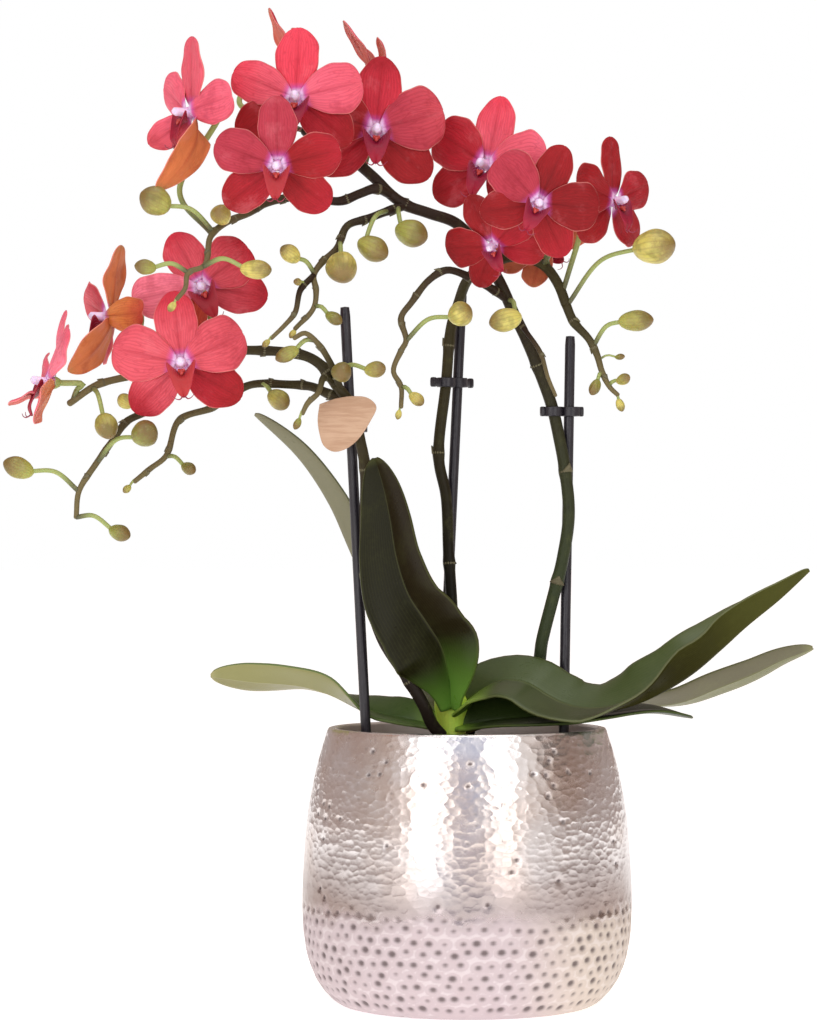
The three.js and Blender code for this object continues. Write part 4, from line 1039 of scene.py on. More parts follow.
STALK_LIFT = Vector((0, 0, 1.5))
SHEATH_ENDS = (-0.5, 1.4)
SHEATH_BAND = (0.98, 1.05, 1.07, 1.06, 1.03, 0.98)
SHEATH_ROWS, SHEATH_COLUMNS = 10, 7
SHEATH_THICKNESS = 0.35 * MM
BUD_BASE, BUD_SEAT, BUD_TIP = 0.42, 0.12, 0.505
BUD_STALK_RADIUS = 0.85
BUD_STALK_SHARE = 0.16
BUD_STALK_ARCH = 0.16
BUD_ROWS, BUD_SIDES = 22, 24
BUD_PROFILE = [(-0.5, 0.05), (-0.47, 0.3), (-0.4, 0.56), (-0.26, 0.82), (-0.05, 0.99), (0.1, 1.0),
               (0.24, 0.88), (0.36, 0.66), (0.44, 0.42), (0.485, 0.2), (0.5, 0.04)]


def seat_on(stems, point):
    """The point of the stems' centre lines that lies nearest, where a branch or a stalk grows out."""
    lines = np.vstack([route_points(stem["route"], 160) for stem in stems])
    return lines[np.argmin(np.linalg.norm(lines - np.array(point, float), axis=1))]


def seated_stems(name):
    """The stems of a spike, with each branch started on a stem before it."""
    main, *branches = SPIKES[name]["stems"]
    stems = [main]
    for branch in branches:
        first, *rest = branch["route"]
        stems.append({"radii": branch["radii"], "route": [seat_on(stems, first), *rest]})
    return stems


def add_sheath(shape, centres, share, girth, reach, turn):
    """The dry sheath at a node of a stem: a band and a pointed scale on one side."""
    middle = int(share * (len(centres) - 1))
    middle = min(max(middle, 2), len(centres) - 3)
    ahead = unit(centres[middle + 1] - centres[middle - 1])
    start = centres[middle]
    line = start + ahead * (np.linspace(*SHEATH_ENDS, len(SHEATH_BAND))[:, None] * MM)
    add_tube(shape, line, np.array(SHEATH_BAND) * girth, 14, SHEATH_SLOT)
    side = unit(np.cross(ahead, [math.cos(turn), math.sin(turn), 0.3]))
    across = np.cross(ahead, side)

    def scale(s, t):
        width = girth * 1.1 * (1 - s**1.5) + 0.05 * MM
        bend = t * (1.2 - 0.7 * s)
        out = np.cos(bend) * girth * (1.08 + 0.25 * s)
        beside = np.sin(bend) * width * 1.1
        return start + ahead * (s * reach)[..., None] + side * out[..., None] + across * beside[..., None]

    rows, columns = np.linspace(0, 1, SHEATH_ROWS), np.linspace(-1, 1, SHEATH_COLUMNS)
    add_blade(shape, scale, rows, columns, SHEATH_THICKNESS, SHEATH_SLOT, SHEATH_SLOT)


def add_bud(shape, stems, bud):
    """A closed bud on its arched stalk."""
    centre, near, size, width, *aim = bud
    centre = np.array(centre, float)
    root = seat_on(stems, near)
    axis = unit(np.array(aim[0], float)) if aim else unit(centre - root)
    base = centre - axis * size * BUD_BASE
    far = np.linalg.norm(centre - root)
    bend = (root + base) / 2 + np.array([0, 0, far * BUD_STALK_ARCH])
    thin = min(BUD_STALK_RADIUS, width * BUD_STALK_SHARE)
    seat = base + axis * size * BUD_SEAT
    route = [root, bend, seat] if far > size * 0.6 else [root, (root + centre) / 2 + [0, 0, 0.3], centre]
    add_stem(shape, route, (thin * 1.15, thin), 10, 1.2 * MM, STALK_SLOT, (0, 1))
    even, fine = np.linspace(0, 1, len(BUD_PROFILE)), np.linspace(0, 1, BUD_ROWS)
    along, share = [np.interp(fine, even, values) for values in zip(*BUD_PROFILE)]
    side = unit(np.array([axis[1], -axis[0], 0.01]))
    turn = full_turn(BUD_SIDES)
    ridge = 1 + 0.035 * np.cos(3 * turn) - 0.02 * np.abs(np.sin(1.5 * turn))
    centres = centre + axis * along[:, None] * size
    rings = ring_points(centres, side[None], np.cross(axis, side)[None], share * width / 2, turn, ridge)
    tube = closed_tube(rings * MM, end=(centre + axis * size * BUD_TIP) * MM)
    shape.add(*tube, BUD_SLOT, (size * 7.3 + width * 3.1) % 1.0)


def add_bloom_stalk(shape, bloom, stems):
    """A bloom's stalk leaves the spike, rises and comes in behind the flower."""
    placed = bloom_matrix(bloom)
    end, before = placed @ STALK_END, placed @ STALK_BEND
    lift = Vector(bloom["root"]).lerp(before, 0.45) + STALK_LIFT
    route = [seat_on(stems, bloom["root"]), bloom.get("via", lift), before, end]
    add_stem(shape, [tuple(point) for point in route], STALK_RADII, 12, 1.2 * MM, STALK_SLOT, (0, 1))


def build_spike_shape(name):
    shape = Shape()
    stems = seated_stems(name)
    rng = np.random.default_rng(len(name))
    for stem in stems:
        habit = MAIN_STEM if stem is stems[0] else BRANCH
        route, radii, gap = stem["route"], stem["radii"], habit["gap"]
        reach = route_length(route)
        knots = [(i + 0.6) * gap / reach for i in range(int(reach / gap))]
        centres = add_stem(shape, route, radii, 16, 1.3 * MM, mark=habit["marks"], knots=knots)
        for knot in knots:
            girth = np.interp(knot, [0, 1], radii) * 1.06 * MM
            add_sheath(shape, centres, knot, girth, habit["sheath"] * MM, rng.uniform(0, math.tau))
    for bloom in BLOOMS:
        if bloom["spike"] == name:
            add_bloom_stalk(shape, bloom, stems)
    for bud in SPIKES[name]["buds"]:
        add_bud(shape, stems, bud)
    return shape


STEM_TONES = {
    "spike_left": ("261f1a", "39321f"),
    "spike_middle": ("110f0e", "3b3520"),
    "spike_right": ("38412a", "2f221a"),
}


def stem_material(name):
    """Skin of a spike's stems, from the tone at its foot to that of its top, with browner branches."""
    material, tree = start_material(name.replace("_", " ") + " skin")
    mottle, mark = mottle_value(tree, 210.0, 1.8), mark_value(tree)
    skin = blend(tree, fade(tree, mark, 0.1, 0.75), *STEM_TONES[name])
    skin = blend(tree, fade(tree, mark, 1.0, 1.7, 0.0, 0.75), skin, "7c6f4c")
    skin = blend(tree, fade(tree, mottle, 0.5, 0.95, 0.0, 0.28), skin, "66683c")
    skin = blend(tree, fade(tree, mottle, 0.05, 0.4, 0.5, 0.0), skin, "241b19")
    rough = gloss(tree, mottle, 0.3, 0.5)
    return finish_material(material, skin, rough, (mottle, 0.3, 0.0006), specular_ior_level=0.12)


def stalk_material(settings):
    material, tree = start_material("flower stalk skin")
    mottle = mottle_value(tree, 240.0, 1.6)
    skin = blend(tree, fade(tree, mark_value(tree), 0.0, 0.5), settings.stem, settings.stalk)
    skin = blend(tree, fade(tree, mottle, 0.5, 1.0, 0.0, 0.5), skin, "c3c98a")
    rough, bump = gloss(tree, mottle, 0.35, 0.5), (mottle, 0.25, 0.0005)
    return finish_material(material, skin, rough, bump, subsurface_weight=0.1, subsurface_scale=0.001)


def bud_material(settings):
    """Green yellow skin, with a brown red blush towards the tip."""
    material, tree = start_material("bud skin")
    along = surface_coordinates(tree)[1]
    mottle, own = mottle_value(tree, 200.0, 1.7), mark_value(tree)
    green = blend(tree, fade(tree, own, 0.2, 0.8), settings.bud, "929a44")
    reach = calc(tree, "MULTIPLY_ADD", own, 0.25, calc(tree, "MULTIPLY_ADD", mottle, 0.5, along))
    skin = blend(tree, times(tree, fade(tree, reach, 0.55, 1.15), 0.85), green, settings.bud_blush)
    cloud = noise_value(tree, place_coordinates(tree), 190.0, 2.0)
    skin = blend(tree, fade(tree, cloud, 0.5, 0.64, 0.0, 0.42), skin, "6f6a2c")
    lines = times(tree, vein_values(tree, 18.0, 1.5, 0.2, 0.4)["Lines"], 0.3)
    skin = blend(tree, lines, skin, "7d5a34")
    # Painted highlight: pale patches on the bud stand in for its highlights.
    skin = blend(tree, fade(tree, mottle, 0.6, 1.0, 0.0, 0.35), skin, "d7d69a")
    rough, bump = gloss(tree, mottle, 0.34, 0.48), (calc(tree, "ADD", mottle, lines), 0.25, 0.0005)
    return finish_material(material, skin, rough, bump, subsurface_weight=0.12, subsurface_scale=0.002)


class OrchidSpikesOperator(bpy.types.Operator):
    """Adds the three flower spikes with their branches, stalks and buds"""

    bl_idname = "orchid.add_spikes"
    bl_label = "Flower spikes and buds"

    def execute(self, context):
        settings = context.scene.orchid_plant
        papery = mottled_material(
            "dry sheath", (300.0, 1.8), ("453828", "767250"), (0.2, 0.8, 0.5, 0.75), (0.35, 0.0004)
        )
        shared = [stalk_material(settings), bud_material(settings), papery]
        for node in SPIKES:
            materials = [stem_material(node), *shared]
            place(node.replace("spike", "flower_spike"), build_spike_shape(node), materials, [node])
        return {"FINISHED"}


# Blooms: centre, turn from the front about Z, tilt above level, roll clockwise, size, spike and the root
# of its stalk, which may pass a point on its way. Lean, twist, bow and swing bend its tepals, and slim and
# stretch scale them, in the order dorsal sepal, right and left sepal, right and left petal. Tones names the
# near and far colour of each tepal in that order, and lip says how fiery the lip is.

# The spread from pale to dark among these tones, and which tepal gets which, is partly the blooms' own colour
# and partly painted shade.
TONE_CODES = {
    "shell": "fb8499", "pink": "ee667c", "salmon": "e25a6c", "vivid": "e9465a", "coral": "db5764",
    "rose": "c94854", "red": "cc3042", "dusk": "b43647", "crimson": "ae1c2b", "wine": "9c161d",
    "dark": "8a0f15", "orange": "db8646", "flame": "c04834", "rust": "a8563c",
}
BLOOMS = [
    {"at": (-107, -30, 350), "turn": -64, "tilt": -4, "roll": 3, "size": 0.98, "spike": "spike_right",
     "root": (-100, -43, 302), "via": (-112, -27, 320), "lean": (0, -4, 36, -20, 4), "lip": 0.1,
     "twist": (-5, -70, 50, 0, 0), "bow": (0, 27, 4, 0, 0), "swing": (3, 24, -12, 4, 4),
     "slim": (1.1, 1.15, 0.7, 0.85, 0.85), "stretch": (1.1, 1.2, 0.8, 0.95, 0.95),
     "tones": "salmon-salmon orange-orange pink-coral pink-pink pink-pink"},
    {"at": (-67, -22, 356), "turn": -3, "tilt": 4, "roll": 3, "size": 1.02, "spike": "spike_right",
     "root": (-54, 2, 341), "slim": (1.1, 1, 1, 0.94, 0.8),
     "tones": "vivid-vivid crimson-wine wine-wine pink-salmon salmon-vivid"},
    {"at": (-73, -57, 327), "turn": -3, "tilt": -8, "roll": 2, "size": 0.94, "spike": "spike_right",
     "root": (-62, -12, 318), "slim": (1.0, 1, 1, 0.87, 0.87), "lip": 0.5,
     "tones": "dusk-dusk wine-crimson crimson-wine wine-crimson dusk-dusk"},
    {"at": (-36, -8, 345), "turn": 5, "tilt": 0, "roll": 3, "size": 1.04, "spike": "spike_right",
     "root": (-40, -4, 330), "slim": (1.1, 1, 1, 1.12, 1.0),
     "tones": "red-crimson wine-wine crimson-wine dusk-rose wine-crimson"},
    {"at": (-69.5, 34, 371), "turn": 100, "tilt": 5, "roll": 0, "size": 1.04, "spike": "spike_right",
     "root": (-63, 5, 345), "via": (-90, 12, 357), "lean": (-13, 0, -40, 0, 0),
     "tones": "rose-red crimson-crimson crimson-dark rose-rose rose-rose"},
    {"at": (-36.5, 36, 369), "turn": 98, "tilt": 5, "roll": 0, "size": 1, "spike": "spike_right",
     "root": (-45, -2, 334), "lean": (-18, 0, 0, 0, 0),
     "tones": "coral-pink crimson-crimson crimson-crimson rose-rose rose-rose"},
    {"at": (-103.5, -26, 283), "turn": 0, "tilt": -8, "roll": -26, "size": 0.98, "spike": "spike_left",
     "root": (-98, -23, 257), "slim": (1.05, 1, 1, 1, 0.82), "stretch": (0.82, 1, 1, 0.92, 1.1),
     "swing": (-4, 0, 0, 8, -6),
     "lip": 0.3, "tones": "coral-red rose-crimson flame-crimson rose-crimson shell-shell"},
    {"at": (-110, -50, 252), "turn": 0, "tilt": 0, "roll": -6, "size": 1.01, "spike": "spike_left",
     "root": (-86, -22, 258), "lip": 0.65,
     "tones": "coral-red crimson-wine coral-crimson coral-rose coral-coral"},
    {"at": (-139, -26, 271), "turn": -100, "tilt": -2, "roll": 0, "size": 1, "spike": "spike_left",
     "root": (-130, -28, 248), "lean": (-5, 4, 6, -46, 36), "twist": (14, 0, 0, 0, 0),
     "bow": (0, 15, 6, 0, 0), "swing": (0, 16, 0, 18, 0), "slim": (1, 1, 1, 0.66, 0.9),
     "tones": "orange-orange orange-orange coral-coral orange-flame rose-coral"},
    {"at": (-160.5, -37, 245), "turn": -76, "tilt": 3, "roll": -3, "size": 1, "spike": "spike_left",
     "root": (-153, -34, 238), "lean": (0, 26, 52, -6, 0), "slim": (0.85, 0.9, 0.8, 0.7, 0.7),
     "twist": (0, 0, -55, 0, 0), "swing": (4, 0, 0, -34, 0), "stretch": (1, 1, 0.78, 1, 1),
     "tones": "shell-pink orange-pink pink-pink shell-pink pink-pink"},
    {"at": (8, 0, 332), "turn": -25, "tilt": 2, "roll": 12, "size": 1, "spike": "spike_middle",
     "root": (14, 10, 295), "slim": (1.1, 1, 1, 1.08, 1.08),
     "tones": "salmon-vivid crimson-crimson crimson-wine salmon-pink crimson-crimson"},
    {"at": (27, -41, 314), "turn": 0, "tilt": -6, "roll": 26, "size": 0.88, "spike": "spike_middle",
     "root": (30, 2, 293), "via": (34, -16, 303), "slim": (1.05, 1, 1, 1.05, 1.0),
     "tones": "dark-wine wine-crimson wine-dark dark-dark dusk-dusk"},
    {"at": (57, -10, 317), "turn": 48, "tilt": 0, "roll": -2, "size": 0.9, "spike": "spike_middle",
     "root": (38, -1, 281), "slim": (0.95, 1, 1, 0.78, 1.0),
     "tones": "wine-wine crimson-wine wine-wine crimson-wine wine-wine"},
    {"at": (10, -26, 299), "turn": -20, "tilt": -24, "roll": -24, "size": 0.76, "spike": "spike_middle",
     "root": (18, 8, 296), "tones": "wine-dark crimson-wine wine-dark crimson-crimson wine-dark"},
    {"at": (30, 14, 303), "turn": 160, "tilt": -24, "roll": 50, "size": 0.78, "spike": "spike_middle",
     "root": (33, 1, 290), "tones": "rust-rust rust-rust rust-rust rust-rust rust-rust"},
]
TEPAL_ROOT = 1.9
PLAIN_BENDS = {"lean": 0, "twist": 0, "bow": 0, "swing": 0, "slim": 1, "stretch": 1}
SEPAL = {"length": 25, "half": 8.6, "layer": -0.3, "swell": (0.7, 0.55), "bow": -1.6, "cup": 0.6}
PETAL = {"length": 24.5, "half": 10.8, "layer": 2.2, "swell": (0.75, 0.42), "bow": -1.2, "cup": -0.8}
TEPALS = [
    {**SEPAL, "angle": 0, "length": 26, "half": 8.0, "bow": -2.4},
    *[{**SEPAL, "angle": angle} for angle in (128, -128)],
    *[{**PETAL, "angle": angle} for angle in (71, -71)],
]
COLUMN = [(0, -3.0, 1.5), (0, -0.6, 2.6), (0, 1.4, 2.3), (0, 3.2, 1.9), (0.2, 5.2, 1.75), (0.4, 6.8, 1.7)]
CAP = [(0, 1.0, 6.2), (0, 0.3, 8.0)]
CAP_RADII = (0.9, 1.35, 1.5, 1.4, 1.05)
COLUMN_SLOT, COLUMN_RINGS = 2, 14
TEPAL_ROWS, TEPAL_COLUMNS = 33, 25
HEART_TONES = ("f6e9f4", "c56cc4")


def bloom_matrix(bloom):
    """From a bloom's own frame, x right, y up and z out of its face, to the plant's, in millimetres."""
    turn, tilt = math.radians(bloom["turn"]), math.radians(bloom["tilt"])
    face = Vector((math.sin(turn) * math.cos(tilt), -math.cos(turn) * math.cos(tilt), math.sin(tilt)))
    right = Vector((math.cos(turn), math.sin(turn), 0))
    roll = Matrix.Rotation(math.radians(-bloom["roll"]), 3, "Z")
    placed = Matrix((right, face.cross(right), face)).transposed() @ roll
    return Matrix.Translation(Vector(bloom["at"])) @ (placed * bloom["size"]).to_4x4()


def from_bloom(bloom, points):
    """Points given in a bloom's own frame, in the plant's."""
    matrix = np.array(bloom_matrix(bloom))
    return np.asarray(points, float) @ matrix[:3, :3].T + matrix[:3, 3]


def add_fine_tube(shape, bloom, points, radii, sides, slot, mark=0.0, dome=0.0):
    """A small tube along points of a bloom's own frame, with its radii at even shares of its length."""
    line = route_points(from_bloom(bloom, points), len(radii)) * MM
    add_tube(shape, line, np.array(radii) * bloom["size"] * MM, sides, slot, mark, dome)


def tepal_surface(tepal, bends, bloom, rng):
    """The middle surface of a tepal, with a groove along its midrib and a wavy, slightly rolled edge."""
    rise, fall = tepal["swell"]
    peak = (rise / (rise + fall)) ** rise * (fall / (rise + fall)) ** fall
    in_plane = turn_about("Z", -(tepal["angle"] + bends["swing"] + rng.uniform(-3, 3)))
    forward = turn_about("X", bends["lean"] + rng.uniform(-4, 4))
    reach = tepal["length"] * bends["stretch"] * rng.uniform(0.96, 1.02)
    width = tepal["half"] * bends["slim"] * rng.uniform(0.95, 1.04)
    waves = rng.uniform(0, math.tau, 6)

    def surface(s, t):
        along = np.sin(s * math.pi / 2) ** 1.1
        share = 0.02 + 0.9792 * along
        swell = share**rise * (1 - share) ** fall / peak
        side = np.where(t > 0, np.sin(along * 7 + waves[4]), np.sin(along * 8 + waves[5]))
        nick = 0.03 * np.sin(along * 19 + waves[5] + 2 * np.sign(t))
        half = np.maximum(width * swell * (1 + (0.05 * side + nick) * along), 1.1 * (1 - along))
        turn = np.radians(bends["twist"] * np.minimum(1, along * 2.5))
        wave = np.sin(along * 6 + waves[0] + t) + 0.5 * np.sin(along * 13 + waves[1] + 2 * t)
        lift = tepal["cup"] * t * t * swell + 0.75 * wave * np.abs(t) ** 1.5 * swell - 1.0 * t**6 * swell
        lift = lift - 0.6 * np.exp(-((t / 0.09) ** 2)) * np.minimum(1, 1.4 * (1 - along))
        ripple = 0.16 * np.sin(t * 11 + waves[2]) * np.sin(along * 9 + waves[3])
        lift = lift + ripple * swell
        x = t * half * np.cos(turn) - lift * np.sin(turn)
        z = t * half * np.sin(turn) + lift * np.cos(turn) + (tepal["bow"] + bends["bow"]) * along**2
        local = np.stack([x, reach * along, z], axis=-1) @ forward.T + [0, TEPAL_ROOT, 0]
        local[..., 2] += tepal["layer"] * (1 - 0.3 * along)
        return from_bloom(bloom, local @ in_plane.T) * MM

    return surface


class ToneShape(Shape):
    """A shape whose points also carry a near and a far colour."""

    def __init__(self):
        super().__init__()
        self.tones = {"near": [], "far": []}
        self.toned = 0

    def tone(self, near, far):
        """Gives the points added since the last call their two colours."""
        for title, code in (("near", near), ("far", far)):
            self.tones[title].append(np.tile(solid(code), (self.count - self.toned, 1)))
        self.toned = self.count

    def mesh(self, name):
        mesh = super().mesh(name)
        for title, parts in self.tones.items():
            layer = mesh.attributes.new(title, "FLOAT_COLOR", "POINT")
            layer.data.foreach_set("color", np.vstack(parts).ravel())
        return mesh


def build_bloom_shape(bloom, seed, thickness):
    """The five tepals of a bloom and its column, a short curved body with a rounded cap."""
    rng = np.random.default_rng(seed)
    shape = ToneShape()
    rows, even = np.linspace(0, 1, TEPAL_ROWS), np.linspace(-1, 1, TEPAL_COLUMNS)
    columns = np.sin(even * math.pi / 2) * 0.35 + even * 0.65
    for i, (tepal, tones) in enumerate(zip(TEPALS, bloom["tones"].split())):
        bends = {key: bloom[key][i] if key in bloom else plain for key, plain in PLAIN_BENDS.items()}
        surface = tepal_surface(tepal, bends, bloom, rng)
        add_blade(shape, surface, rows, columns, thickness * bloom["size"], mark=rng.uniform(0, 1))
        shape.tone(*[TONE_CODES[tone] for tone in tones.split("-")])
    even = np.linspace(0, 1, COLUMN_RINGS)
    radii = np.interp(even, np.linspace(0, 1, len(COLUMN)), [radius for _, _, radius in COLUMN])
    add_fine_tube(shape, bloom, [(0, y, z) for y, z, _ in COLUMN], radii, 18, COLUMN_SLOT, even, dome=0.9)
    add_fine_tube(shape, bloom, CAP, CAP_RADII, 16, COLUMN_SLOT, 1.0, dome=0.6)
    shape.tone(*HEART_TONES)
    return shape


def petal_material(settings, name, back):
    """Velvety petal skin. The front is tinted by the mesh, and the back fades to its own colour."""
    material, tree = start_material(name)
    across, along = surface_coordinates(tree)
    mottle = mottle_value(tree, 130.0, 1.4)
    cloud = noise_value(tree, place_coordinates(tree), 75.0, 6.0, 0.68)
    ribs = vein_values(tree, 15.0, 1.0, 0.2, 0.8)["Lines"]
    net = calc(tree, "MAXIMUM", vein_values(tree, 17.0, 2.6, 0.12, 0.8)["Net"], times(tree, ribs, 0.8))
    near, far = [mark_value(tree, title, "Color") for title in ("near", "far")]
    reach = calc(tree, "MULTIPLY_ADD", calc(tree, "SUBTRACT", mottle, 0.5), 0.35, along)
    skin = blend(tree, fade(tree, reach, 0.15, 0.85), near, far)
    if back:
        skin = blend(tree, 0.6, skin, settings.petal_back)
        skin = blend(tree, fade(tree, reach, 0.65, 1.05, 0.0, 0.6), skin, "9a8450")
        net = times(tree, net, 0.35)
    # The deep tone darkens the veins and random cloudy patches, and also the midrib crease, most near the base,
    # as painted shade.
    deep = blend(tree, 1.0, skin, (0.62, 0.36, 0.42), "MULTIPLY")
    middle = fade(tree, from_middle(tree, across), 0.0, 0.09, 1.0, 0.0)
    crease = times(tree, middle, fade(tree, along, 0.2, 0.95, 0.55, 0.05))
    for amount in (times(tree, net, 0.42), crease, fade(tree, cloud, 0.5, 0.7, 0.0, 0.62)):
        skin = blend(tree, amount, skin, deep)
    skin = blend(tree, fade(tree, cloud, 0.28, 0.47, 0.17, 0.0), skin, "f78f98")
    skin = blend(tree, times(tree, margin_value(tree, 0.055), 0.6), skin, "ee958c")
    if not back:
        for ragged, step, tone in (
            (0.06, (0.06, 0.17, 0.8), settings.violet),
            (0.04, (0.04, 0.1, 0.9), settings.halo),
        ):
            heart = fade(tree, calc(tree, "MULTIPLY_ADD", mottle, ragged, along), *step, 0.0)
            skin = blend(tree, heart, skin, tone)
    pores = noise_value(tree, place_coordinates(tree), 1100.0, 2.0)
    height = calc(tree, "SUBTRACT", times(tree, pores, 0.3), times(tree, net, 0.5))
    plain = {"sheen_weight": 0.03, "sheen_roughness": 0.5, "specular_ior_level": 0.2,
             "subsurface_weight": 0.1, "subsurface_scale": 0.001}
    rough = gloss(tree, mottle, 0.42, 0.6)
    return finish_material(material, skin, rough, (height, 0.4, 0.0005), **plain)


def column_material(settings):
    """The column is green at its foot, like the stalk behind it, then violet and pale at its cap."""
    material, tree = start_material("column skin")
    noise = noise_value(tree, place_coordinates(tree), 400.0)
    grow = calc(tree, "MULTIPLY_ADD", noise, 0.3, mark_value(tree))
    skin = blend(tree, fade(tree, grow, 0.35, 0.95), settings.violet, settings.halo)
    skin = blend(tree, fade(tree, grow, 0.38, 0.5, 1.0, 0.0), skin, settings.stalk)
    rough = fade(tree, grow, 0.0, 1.3, 0.5, 0.32)
    return finish_material(material, skin, rough, subsurface_weight=0.2, subsurface_scale=0.0015)


class OrchidBloomsOperator(bpy.types.Operator):
    """Adds the fifteen open blooms"""

    bl_idname = "orchid.add_blooms"
    bl_label = "Blooms"

    def execute(self, context):
        settings = context.scene.orchid_plant
        materials = [petal_material(settings, name, "back" in name) for name in ("petal front", "petal back")]
        materials.append(column_material(settings))
        for number, bloom in enumerate(BLOOMS, 1):
            shape = build_bloom_shape(bloom, number, settings.petal_thickness)
            place(f"open_bloom_{number:02}", shape, materials, [f"bloom_{number:02}"])
        return {"FINISHED"}


# Lips

LIP_MIDRIB = [(0, -3.5, 2.4), (0, -4.7, 4.6), (0, -7, 7.4), (0, -10, 8.6), (0, -13.4, 7.6)]
LIP_ROWS, LIP_COLUMNS = 41, 25
LIP_END = 0.93
LIP_THICKNESS = 0.75 * MM
CREST_SLOT, WHISKER_SLOT = 1, 2
CREST = [(0, -3.6, 4.0), (0, -3.4, 5.6), (0, -4.6, 6.8)]
CREST_RADII = (0.5, 0.8, 0.95, 1.05, 1.0, 0.9, 0.8, 0.65, 0.4)
HORN = [(0.75, -3.4, 5.0), (0.95, -2.6, 6.3)]
HORN_RADII = (0.4, 0.6, 0.65, 0.6, 0.5, 0.3)
WHISKER = [(0.5, -13.0, 7.8), (1.6, -14.0, 9.2), (3.0, -13.6, 10.2), (4.2, -12.4, 10.6)]
WHISKER_RADII = np.linspace(0.3, 0.12, 16)


def lip_surface(bloom):
    """The middle surface of a lip, with its two side lobes raised and a keel towards its pointed end."""

    def surface(s, t):
        rows = s[:, 0]
        centre = spline_at(LIP_MIDRIB, rows)
        half = 0.7 + 3.2 * np.sin(math.pi * (0.002 + 0.995 * rows) ** 0.85) ** 0.8
        tip = np.sqrt(np.clip(1 - ((rows - LIP_END) / (1 - LIP_END)) ** 2, 0.01, 1))
        half = np.where(rows > LIP_END, half * tip, half)
        lobe = np.exp(-(((rows - 0.3) / 0.17) ** 2))[:, None]
        rise = 5.6 * lobe * np.abs(t) ** 1.7
        keel = -0.5 * np.exp(-((t / 0.25) ** 2)) * smooth(0.45, 0.8, rows)[:, None]
        x = t * half[:, None] * (1 + 0.5 * lobe)
        local = np.stack([x, centre[:, 1][:, None] + rise, centre[:, 2][:, None] + keel], axis=-1)
        return from_bloom(bloom, local) * MM

    return surface


def build_lip_shape(bloom):
    """A lip with its crest, the two horns of the crest and the two whiskers at its tip."""
    shape = Shape()
    rows, columns = np.linspace(0, 1, LIP_ROWS), np.linspace(-1, 1, LIP_COLUMNS)
    thickness, fire = LIP_THICKNESS * bloom["size"], bloom.get("lip", 0.0)
    add_blade(shape, lip_surface(bloom), rows, columns, thickness, 0, 0, fire)
    add_fine_tube(shape, bloom, CREST, CREST_RADII, 12, CREST_SLOT)
    for side in (-1, 1):
        horn, whisker = [np.array(line) * [side, 1, 1] for line in (HORN, WHISKER)]
        add_fine_tube(shape, bloom, horn, HORN_RADII, 10, CREST_SLOT)
        add_fine_tube(shape, bloom, whisker, WHISKER_RADII, 8, WHISKER_SLOT)
    return shape


def lip_material(settings):
    """Waxy crimson skin with pale stripes near the heart."""
    material, tree = start_material("lip skin")
    across, along = surface_coordinates(tree)
    mottle = mottle_value(tree, 260.0, 1.5)
    stripes = vein_values(tree, 15.0, 1.0, 0.22, 0.35)["Lines"]
    skin = blend(tree, fade(tree, along, 0.35, 0.9), settings.lip, "a31a34")
    skin = blend(tree, fade(tree, mottle, 0.1, 0.5, 0.6, 0.0), skin, "560a26")
    skin = blend(tree, mark_value(tree), skin, "c23a34")
    inside = fade(tree, from_middle(tree, across, 2.0), 0.2, 0.9, 1.0, 0.4)
    striped = times(tree, stripes, times(tree, fade(tree, along, 0.1, 0.42, 1.0, 0.0), inside))
    skin = blend(tree, times(tree, striped, 0.55), skin, "eba6d0")
    skin = blend(tree, times(tree, margin_value(tree, 0.1), 0.25), skin, "c83c58")
    plain = {"specular_ior_level": 0.3, "subsurface_weight": 0.1, "subsurface_scale": 0.001}
    bump = (calc(tree, "SUBTRACT", mottle, stripes), 0.3, 0.0004)
    return finish_material(material, skin, gloss(tree, mottle, 0.3, 0.45), bump, **plain)


def callus_material(settings):
    material, tree = start_material("lip crest skin")
    dots = add_node(tree, "ShaderNodeTexVoronoi", {"Vector": place_coordinates(tree), "Scale": 2200.0})
    spot = fade(tree, dots.outputs["Distance"], 0.15, 0.3, 1.0, 0.0)
    skin = blend(tree, times(tree, spot, 0.8), settings.callus, "a3202c")
    return finish_material(material, skin, fade(tree, spot, 0.0, 1.0, 0.3, 0.4))


class OrchidLipsOperator(bpy.types.Operator):
    """Adds the lip of each bloom"""

    bl_idname = "orchid.add_lips"
    bl_label = "Lips"

    def execute(self, context):
        settings = context.scene.orchid_plant
        tones = ("6e1030", "b03a56")
        whisker = mottled_material("lip whisker skin", (500.0, 1.5), tones, (0.2, 0.8, 0.35, 0.5))
        materials = [lip_material(settings), callus_material(settings), whisker]
        for number, bloom in enumerate(BLOOMS, 1):
            place(f"bloom_lip_{number:02}", build_lip_shape(bloom), materials, [f"lip_{number:02}"])
        return {"FINISHED"}


# Stakes, clips and tag. A clip is its height, the middles of its eyes round spike and stake, and its end tab.

STAKES = {
    "stake_left": ((-37.4, -6, 60), (-48, -17, 275)),
    "stake_middle": ((-12, 21, 60), (-1.5, 32, 285)),
    "stake_right": ((37.6, 5.5, 60), (41.4, 15.5, 265)),
}
CLIPS = {
    "clip_left": (228, (-43, -21), (-45.6, -14.6), 3),
    "clip_middle": (247, (-8, 25), (-3.2, 30.2), 5.5),
    "clip_right": (235, (34.4, 12), (41.5, 14), 2.4),
}
TAG_CENTRE = (-46.6, -28.2, 229.5)
TAG_OUTLINE = [(-12, 8), (-5, 10.4), (3, 11.4), (8.5, 10.6), (12, 7), (9.6, 1), (3.6, -7.6), (-2, -11.4),
               (-6.4, -12), (-10.2, -9.6), (-12, -4.6), (-12.8, 1.4)]
TAG_SHARE = 0.92
TAG_POINTS = 96
TAG_THICKNESS = 1.5
STAKE_RINGS, STAKE_SIDES = 120, 28
STAKE_GIRTH = ([0, 0.03, 0.985, 1], [0.55, 1, 1, 0.86])
CLIP_END = 2.6
